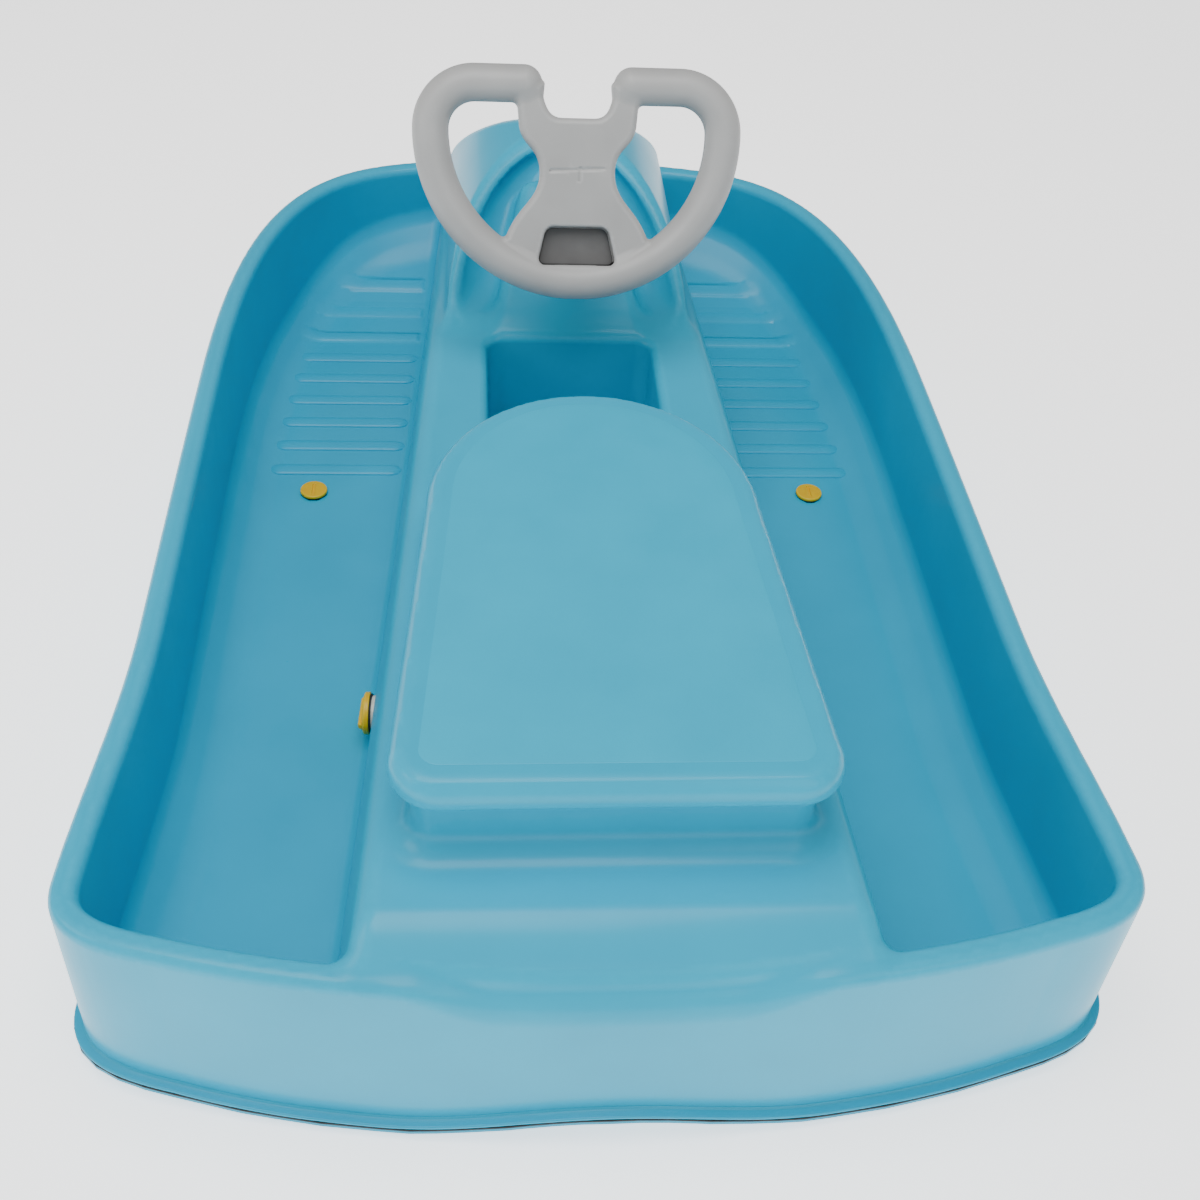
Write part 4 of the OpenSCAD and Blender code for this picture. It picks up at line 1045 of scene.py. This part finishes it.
    def build(self, wardrobe: Wardrobe, deck: Deck) -> None:
        """Builds both rows as plain meshes."""
        tree = self.tree(wardrobe.built[BLUE_HULL.name], deck)
        for side, name in ((1.0, "treads_starboard"), (-1.0, "treads_port")):
            piece = new_mesh(name, np.zeros((0, 3)), [])
            modifier = piece.modifiers.new("treads", "NODES")
            modifier.node_group = tree
            set_input(modifier, "Side", side)
            evaluated(piece)
            outward(piece)
            wardrobe.dress(piece, BLUE_HULL, "root")


def outward(piece: bpy.types.Object) -> None:
    """Merges doubles and turns every face outwards."""
    shape = bmesh.new()
    shape.from_mesh(piece.data)
    bmesh.ops.remove_doubles(shape, verts=shape.verts, dist=1e-6)
    bmesh.ops.recalc_face_normals(shape, faces=shape.faces)
    shape.to_mesh(piece.data)
    shape.free()


# ---- steering wheel ---------------------------------------------------------


@dataclass(frozen=True)
class WheelSizes:
    """Sizes of the yoke wheel, in millimetres, in its own frame."""

    hub_y: float = 150.0
    hub_z: float = 362.0
    rake: float = 31.0
    sweep_r: float = 132.0
    corner_r: float = 40.0
    sweep_up: float = 40.0
    tip_gap: float = 32.0
    grip_r: float = 16.4
    shell_t: float = 3.0
    hub_t: float = 20.0
    boss_r: float = 15.0
    boss_l: float = 28.0
    column_r: float = 8.05

    @property
    def cos(self) -> float:
        """Cosine of the rake."""
        return math.cos(math.radians(self.rake))

    @property
    def sin(self) -> float:
        """Sine of the rake."""
        return math.sin(math.radians(self.rake))

    def place(self) -> Matrix:
        """The wheel's own frame: local Z along the column towards the rider."""
        return (Matrix.Translation((0, self.hub_y, self.hub_z))
                @ Matrix.Rotation(math.radians(90 - self.rake), 4, "X"))


WHEEL = WheelSizes()


class SteeringWheel:
    """The two shells of the yoke wheel."""

    def __init__(self, wardrobe: Wardrobe) -> None:
        """Lays out the X-shaped hub plate."""
        self.wardrobe = wardrobe
        w = WHEEL
        inner, outer = w.tip_gap - 4, w.tip_gap + 24
        half = [(0.0, -w.sweep_r + w.sweep_up + 6), (36.0, -w.sweep_r + w.sweep_up + 10),
                (66.0, -w.sweep_r * 0.5 + 8)]
        half += bezier((66, -w.sweep_r * 0.5 + 8), (56, -26), (34, -22), (34, 4), 30)[1:]
        half += bezier((34, 4), (34, 27), (outer - 5, 25), (outer - 3, 46), 30)
        half += [(outer, w.sweep_up + w.corner_r), (inner + 3, w.sweep_up + w.corner_r)]
        half += bezier((inner + 3, w.sweep_up + w.corner_r - 12), (inner, w.sweep_up + 17),
                       (inner - 4, w.sweep_up + 11), (inner - 14, w.sweep_up + 11), 20)
        half += [(inner - 14, w.sweep_up + 11.0), (0.0, w.sweep_up + 11.0)]
        self.plate = Outline(half, 1.0, 20.0)

    def grip(self, u: Array, v: Array, w: Array, r: float) -> Array:
        """The grip as a tube of radius r along its path."""
        s = WHEEL
        a = np.abs(u)
        straight = s.sweep_r - s.corner_r
        sweep = np.abs(np.hypot(a, v - s.sweep_up) - s.sweep_r)
        corner = np.abs(np.hypot(a - straight, v - s.sweep_up) - s.corner_r)
        end = np.hypot(np.maximum(s.tip_gap + s.grip_r - a, 0), v - s.sweep_up - s.corner_r)
        flat = np.where(v < s.sweep_up, sweep, np.where(a > straight, corner, end))
        return np.hypot(flat, w) - r

    def body(self, u: Array, v: Array, w: Array) -> Array:
        """The whole wheel's outer shape, before it is parted."""
        s = WHEEL
        plate = round_max(self.plate(u, v), np.abs(w) - s.hub_t / 2, 6.0)
        whole = round_min(self.grip(u, v, w, s.grip_r), plate, 5.0)
        a = np.abs(u)
        sides = (a - 32 + (v + 61) * 8 / 34) * 0.96
        pocket = round_max(round_max(sides, np.abs(v + 61) - 17, 7.0), -5.0 - w, 3.0)
        whole = round_max(whole, -pocket, 3.0)
        crease = np.hypot(v - 6 - 0.05 * u, w - s.hub_t / 2 - 0.5) - 1.5
        whole = round_max(whole, -np.maximum(crease, a - 25), 0.8)
        spine = np.hypot(u - 2, w - s.hub_t / 2 - 0.5) - 1.4
        return round_max(whole, -np.maximum(spine, np.abs(v - 2) - 6), 0.8)

    def front(self, u: Array, v: Array, w: Array) -> Array:
        """The front shell, towards the rider."""
        s = WHEEL
        hollow = self.grip(u, v, w, s.grip_r - s.shell_t)
        shell = np.maximum(np.maximum(self.body(u, v, w), -hollow), 0.12 - w)
        return np.maximum(shell, -np.maximum(np.hypot(u, v) - s.column_r, w - 4))

    @staticmethod
    def pocket_shade(u: Array, v: Array, w: Array) -> Array:
        """A dark grey plate on the floor of the hub's pocket: painted shade for the pocket's shadow."""
        sides = (np.abs(u) - 31.4 + (v + 61) * 8 / 34) * 0.96
        top = np.abs(w + 4.4) - 1.2
        return round_max(round_max(sides, np.abs(v + 61) - 16.4, 6.0), top, 0.9)

    def rear_body(self, u: Array, v: Array, w: Array) -> Array:
        """The rear's outer shape, with the boss that takes the column."""
        s = WHEEL
        middle = -s.hub_t / 2 - s.boss_l / 2
        boss = round_max(np.hypot(u, v) - s.boss_r, np.abs(w - middle) - s.boss_l / 2, 2.0)
        ribs = np.maximum(np.abs(np.abs(u) - np.abs(v) * 0.75) - 1.6,
                          np.maximum(np.hypot(u, v) - 34, np.abs(w + 16) - 8))
        whole = round_min(self.body(u, v, w), round_min(boss, ribs, 3.0), 5.0)
        for x, y in ((38, 48), (50, -50)):
            hole = np.hypot(np.abs(u) - x, v - y) - 3.3
            whole = np.maximum(whole, -np.maximum(hole, w + 6))
        return whole

    def rear(self, u: Array, v: Array, w: Array) -> Array:
        """The rear shell, towards the bow."""
        s = WHEEL
        hollow = self.grip(u, v, w, s.grip_r - s.shell_t)
        shell = np.maximum(np.maximum(self.rear_body(u, v, w), -hollow), w + 0.12)
        return np.maximum(shell, s.column_r - np.hypot(u, v))

    def build(self) -> None:
        """Builds and dresses the two shells."""
        cell = 1.6
        low, high = (-152.0, -108.0, -41.0), (152.0, 116.0, 19.0)
        front = moulded("wheel_front", self.front, (low[0], low[1], -2.0), high, cell, 70000,
                        WHEEL.place(), self.body)
        self.wardrobe.dress(front, GREY_WHEEL, "steering", ["wheel_front_shell"])
        rear = moulded("wheel_rear", self.rear, low, (high[0], high[1], 2.0), cell, 80000, WHEEL.place(),
                       self.rear_body)
        self.wardrobe.dress(rear, GREY_WHEEL, "steering", ["wheel_rear_shell"])
        # The dark plate in the hub pocket is painted shade, not a separate part
        pocket_shade = moulded("hub_pocket_cap", self.pocket_shade, (-39, -81, -6.5), (39, -41, 0), cell * 0.6, 12000,
                      WHEEL.place())
        self.wardrobe.dress(pocket_shade, POCKET_SHADE_GREY, "steering")


# ---- plugs ------------------------------------------------------------------


class Plugs:
    """The two floor plugs and the hull bung."""

    def __init__(self, wardrobe: Wardrobe, deck: Deck) -> None:
        """Keeps the sizes that the plugs share with the deck."""
        self.wardrobe = wardrobe
        self.deck = deck

    @staticmethod
    def drain(x: Array, y: Array, z: Array) -> Array:
        """A floor plug about its own axis, z = 0 under its head."""
        r = np.hypot(x, y)
        dome = z - 3.4 + 0.0022 * r * r
        head = round_max(round_max(r - 13.5, dome, 1.4), -z, 0.5)
        slot = np.maximum(np.maximum(np.abs(x) - 1.5, np.abs(y) - 8.5), 1.9 - z)
        stem = np.maximum(round_max(r - 8.95, -17.0 - z, 1.5), z - 1)
        ridge = 0.35 * np.cos(2 * math.pi * z / 3.2)
        stem = np.where(z < -2, np.maximum(stem, r - 8.6 - ridge), stem)
        return round_max(np.minimum(head, stem), -slot, 0.5)

    @staticmethod
    def bung(x: Array, y: Array, z: Array) -> Array:
        """The hull bung about its own axis, z = 0 under its head."""
        r = np.hypot(x, y)
        head = round_max(round_max(r - 18.0, z - 5.2, 2.0), -z, 0.6)
        grip = round_max(round_max(np.abs(x) - 3.4, r - 16.5, 1.5), z - 9.0, 2.6)
        grip = np.maximum(grip, 2 - z)
        stem = np.maximum(round_max(r - 10.95, -18.0 - z, 1.8), z - 1)
        ridge = 0.4 * np.cos(2 * math.pi * z / 3.6)
        stem = np.where(z < -3, np.maximum(stem, r - 10.5 - ridge), stem)
        return np.minimum(round_min(head, grip, 1.6), stem)

    def build(self) -> None:
        """Builds and dresses the three plugs."""
        s = self.deck.s
        cell = 0.55
        seal = 1.6
        for side, name in ((1, "starboard"), (-1, "port")):
            place = Matrix.Translation((side * s.drain_x, s.drain_y, s.floor_z + seal))
            plug = moulded(f"floor_plug_{name}", self.drain, (-15, -15, -19), (15, 15, 5), cell, 24000,
                           place)
            self.wardrobe.dress(plug, YELLOW_PLUG, f"{name}_drain_plug", [f"drain_plug_{name}"])
        turn = math.atan2(s.ped_stern - s.ped_bow, s.length)
        bx = float(self.deck.ped_half(-s.bung_y))
        place = (Matrix.Translation((-bx, -s.bung_y, s.bung_z))
                 @ Matrix.Rotation(-turn, 4, "Z") @ Matrix.Rotation(math.radians(-90), 4, "Y")
                 @ Matrix.Translation((0, 0, seal)))
        bung = moulded("hull_bung", self.bung, (-20, -20, -20), (20, 20, 11), cell * 1.2, 30000, place)
        self.wardrobe.dress(bung, YELLOW_PLUG, "hull_bung", ["bung_plug"])


# ---- screws -----------------------------------------------------------------


class ScrewSet:
    """Pan-head screws placed by a geometry tree on the screws' own places."""

    seed: int = 7

    def __init__(self, wardrobe: Wardrobe, frame: dict[str, Any]) -> None:
        """Keeps the frame, for the places."""
        self.wardrobe = wardrobe
        self.frame = frame

    def places(self, node: str) -> list[tuple[float, float, float]]:
        """Lowest middle point of each loose solid of a node, in metres.

        Args:
            node: The node's name.

        Returns:
            One point a screw.
        """
        shape = bmesh.new()
        shape.from_mesh(self.frame["nodes"][node].data)
        bmesh.ops.remove_doubles(shape, verts=shape.verts, dist=1e-6)
        seen: set[int] = set()
        found = []
        for start in shape.verts:
            if start.index in seen:
                continue
            seen.add(start.index)
            group, queue = [], [start]
            while queue:
                v = queue.pop()
                group.append(v.co.copy())
                for edge in v.link_edges:
                    w = edge.other_vert(v)
                    if w.index not in seen:
                        seen.add(w.index)
                        queue.append(w)
            xs, ys, zs = zip(*group)
            found.append(((min(xs) + max(xs)) / 2, (min(ys) + max(ys)) / 2, min(zs)))
        shape.free()
        return found

    @staticmethod
    def screw() -> bpy.types.Object:
        """One screw pointing up from its head: domed head, cross recess and coarse thread."""
        rings = [(0.001, 0.0), (1.9, 0.05), (3.1, 0.5), (3.8, 1.3), (4.0, 2.2), (4.0, 3.0), (2.0, 3.0)]
        z = 3.4
        while z < 22.5:
            rings += [(1.55, z), (2.0, z + 0.7)]
            z += 1.4
        rings += [(1.2, 23.2), (0.001, 24.4)]
        sides = 16
        verts = []
        for k, (r, h) in enumerate(rings):
            for i in range(sides):
                a = 2 * math.pi * i / sides
                # The cross recess: four arms of the inner rings are pushed in
                push = 1.1 if k in (0, 1) and i % 4 == 0 else 0.0
                verts.append((r * math.cos(a), r * math.sin(a), h + push))
        faces = [(k * sides + i, k * sides + (i + 1) % sides, (k + 1) * sides + (i + 1) % sides,
                  (k + 1) * sides + i)
                 for k in range(len(rings) - 1) for i in range(sides)]
        piece = new_mesh("screw_pattern", np.array(verts), faces)
        outward(piece)
        return piece

    def tree(self, pattern: bpy.types.Object, material: bpy.types.Material) -> bpy.types.NodeTree:
        """Builds the tree that sets a screw on every point, each turned by chance."""
        tree = bpy.data.node_groups.new("hull_screws", "GeometryNodeTree")
        face = tree.interface
        face.new_socket("Geometry", in_out="OUTPUT", socket_type="NodeSocketGeometry")
        face.new_socket("Geometry", in_out="INPUT", socket_type="NodeSocketGeometry")
        face.new_socket("Size", in_out="INPUT", socket_type="NodeSocketFloat").default_value = 1.0
        face.new_socket("Seed", in_out="INPUT", socket_type="NodeSocketInt").default_value = self.seed
        given = add_node(tree, "NodeGroupInput").outputs
        source = add_node(tree, "GeometryNodeObjectInfo", values={"Object": pattern})
        turn = add_node(tree, "FunctionNodeRandomValue", {"data_type": "FLOAT"},
                        links={"Seed": given["Seed"]})
        turn.inputs[3].default_value = math.tau
        spin = add_node(tree, "ShaderNodeCombineXYZ", links={"Z": turn.outputs[1]})
        laid = add_node(tree, "GeometryNodeInstanceOnPoints", links={
            "Points": given["Geometry"], "Instance": source.outputs["Geometry"],
            "Rotation": spin.outputs["Vector"], "Scale": given["Size"]})
        real = add_node(tree, "GeometryNodeRealizeInstances", links={"Geometry": laid.outputs["Instances"]})
        dressed = add_node(tree, "GeometryNodeSetMaterial", values={"Material": material},
                           links={"Geometry": real.outputs["Geometry"]})
        add_node(tree, "NodeGroupOutput", links={"Geometry": dressed.outputs["Geometry"]})
        return tree

    def build(self) -> None:
        """Builds the hull screws as one plain mesh."""
        pattern = self.screw()
        places = np.array(self.places("hull_screws")) / MM
        piece = new_mesh("foot_screws", places, [])
        modifier = piece.modifiers.new("screws", "NODES")
        modifier.node_group = self.tree(pattern, self.wardrobe.built[STAINLESS.name])
        set_input(modifier, "Seed", self.seed)
        evaluated(piece)
        bpy.data.objects.remove(pattern)
        self.wardrobe.dress(piece, STAINLESS, "root", ["hull_screws"])
        LOG.info("foot_screws: %d screws", len(places))


# ---- studio -----------------------------------------------------------------


@dataclass
class Studio:
    """Pale floor, soft lights and the camera."""

    camera_at: tuple[float, float, float] = (-0.095, -1.112, 0.989)
    pitch: float = 42.0
    yaw: float = 6.56
    roll: float = 4.35
    lens: float = 45.0
    floor_half: float = 9000.0
    floor_drop: float = 0.5
    floor_glow: float = 1.35
    sky_strength: float = 0.4
    softboxes: tuple[tuple[str, tuple[float, float, float], float, float], ...] = (
        ("top_softbox", (-0.25, -0.55, 2.5), 1.7, 52.0),
        ("left_softbox", (-2.2, -0.9, 1.6), 1.2, 14.0),
        ("rear_softbox", (1.2, -2.4, 1.7), 1.4, 10.0),
    )

    def build_camera(self) -> None:
        """Sets the camera from its pitch, yaw and roll."""
        p, y, r = (math.radians(a) for a in (self.pitch, self.yaw, self.roll))
        ahead = Vector((math.sin(y) * math.cos(p), math.cos(y) * math.cos(p), -math.sin(p)))
        right = Vector((math.cos(y), -math.sin(y), 0))
        down = ahead.cross(right)
        x = right * math.cos(r) - down * math.sin(r)
        up = -(right * math.sin(r) + down * math.cos(r))
        data = bpy.data.cameras.new("camera")
        data.lens = self.lens
        data.sensor_width = 36.0
        data.clip_start = 0.05
        camera = bpy.data.objects.new("camera", data)
        turn = Matrix((x, up, -ahead)).transposed().to_4x4()
        camera.matrix_world = Matrix.Translation(self.camera_at) @ turn
        bpy.context.scene.collection.objects.link(camera)
        bpy.context.scene.camera = camera

    def build_light(self, name: str, at: tuple[float, float, float], size: float, watts: float) -> None:
        """Adds one soft square light that looks at the boat."""
        data = bpy.data.lights.new(name, "AREA")
        data.shape = "SQUARE"
        data.size = size
        data.energy = watts
        light = bpy.data.objects.new(name, data)
        look = (Vector((0, 0, 0.1)) - Vector(at)).to_track_quat("-Z", "Y")
        light.matrix_world = Matrix.Translation(at) @ look.to_matrix().to_4x4()
        bpy.context.scene.collection.objects.link(light)

    def build(self) -> None:
        """Builds the floor, the world, the lights and the camera."""
        corners = [(i * self.floor_half, j * self.floor_half, -self.floor_drop)
                   for i, j in ((-1, -1), (1, -1), (1, 1), (-1, 1))]
        floor = new_mesh("studio_floor", np.array(corners), [(0, 1, 2, 3)])
        paper = bpy.data.materials.new("white_paper_sweep")
        paper.use_nodes = True
        shader = paper.node_tree.nodes["Principled BSDF"]
        shader.inputs["Base Color"].default_value = linear("fbfbfb")
        shader.inputs["Roughness"].default_value = 0.9
        shader.inputs["Emission Color"].default_value = linear("ffffff")
        shader.inputs["Emission Strength"].default_value = self.floor_glow
        floor.data.materials.append(paper)
        world = bpy.data.worlds.new("studio")
        world.use_nodes = True
        back = world.node_tree.nodes["Background"]
        back.inputs["Color"].default_value = linear("ffffff")
        back.inputs["Strength"].default_value = self.sky_strength
        bpy.context.scene.world = world
        for name, at, size, watts in self.softboxes:
            self.build_light(name, at, size, watts)
        self.build_camera()


def main() -> None:
    """Builds the boat's classes in order, then the studio."""
    logging.basicConfig(level=logging.INFO, format="%(name)s: %(message)s")
    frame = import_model()
    wardrobe = Wardrobe(frame)
    deck = Deck(wardrobe)
    deck.build()
    RibRow().build(wardrobe, deck)
    SteeringWheel(wardrobe).build()
    Plugs(wardrobe, deck).build()
    ScrewSet(wardrobe, frame).build()
    wardrobe.dress_nodes()
    Studio().build()


if __name__ == "__main__":
    main()
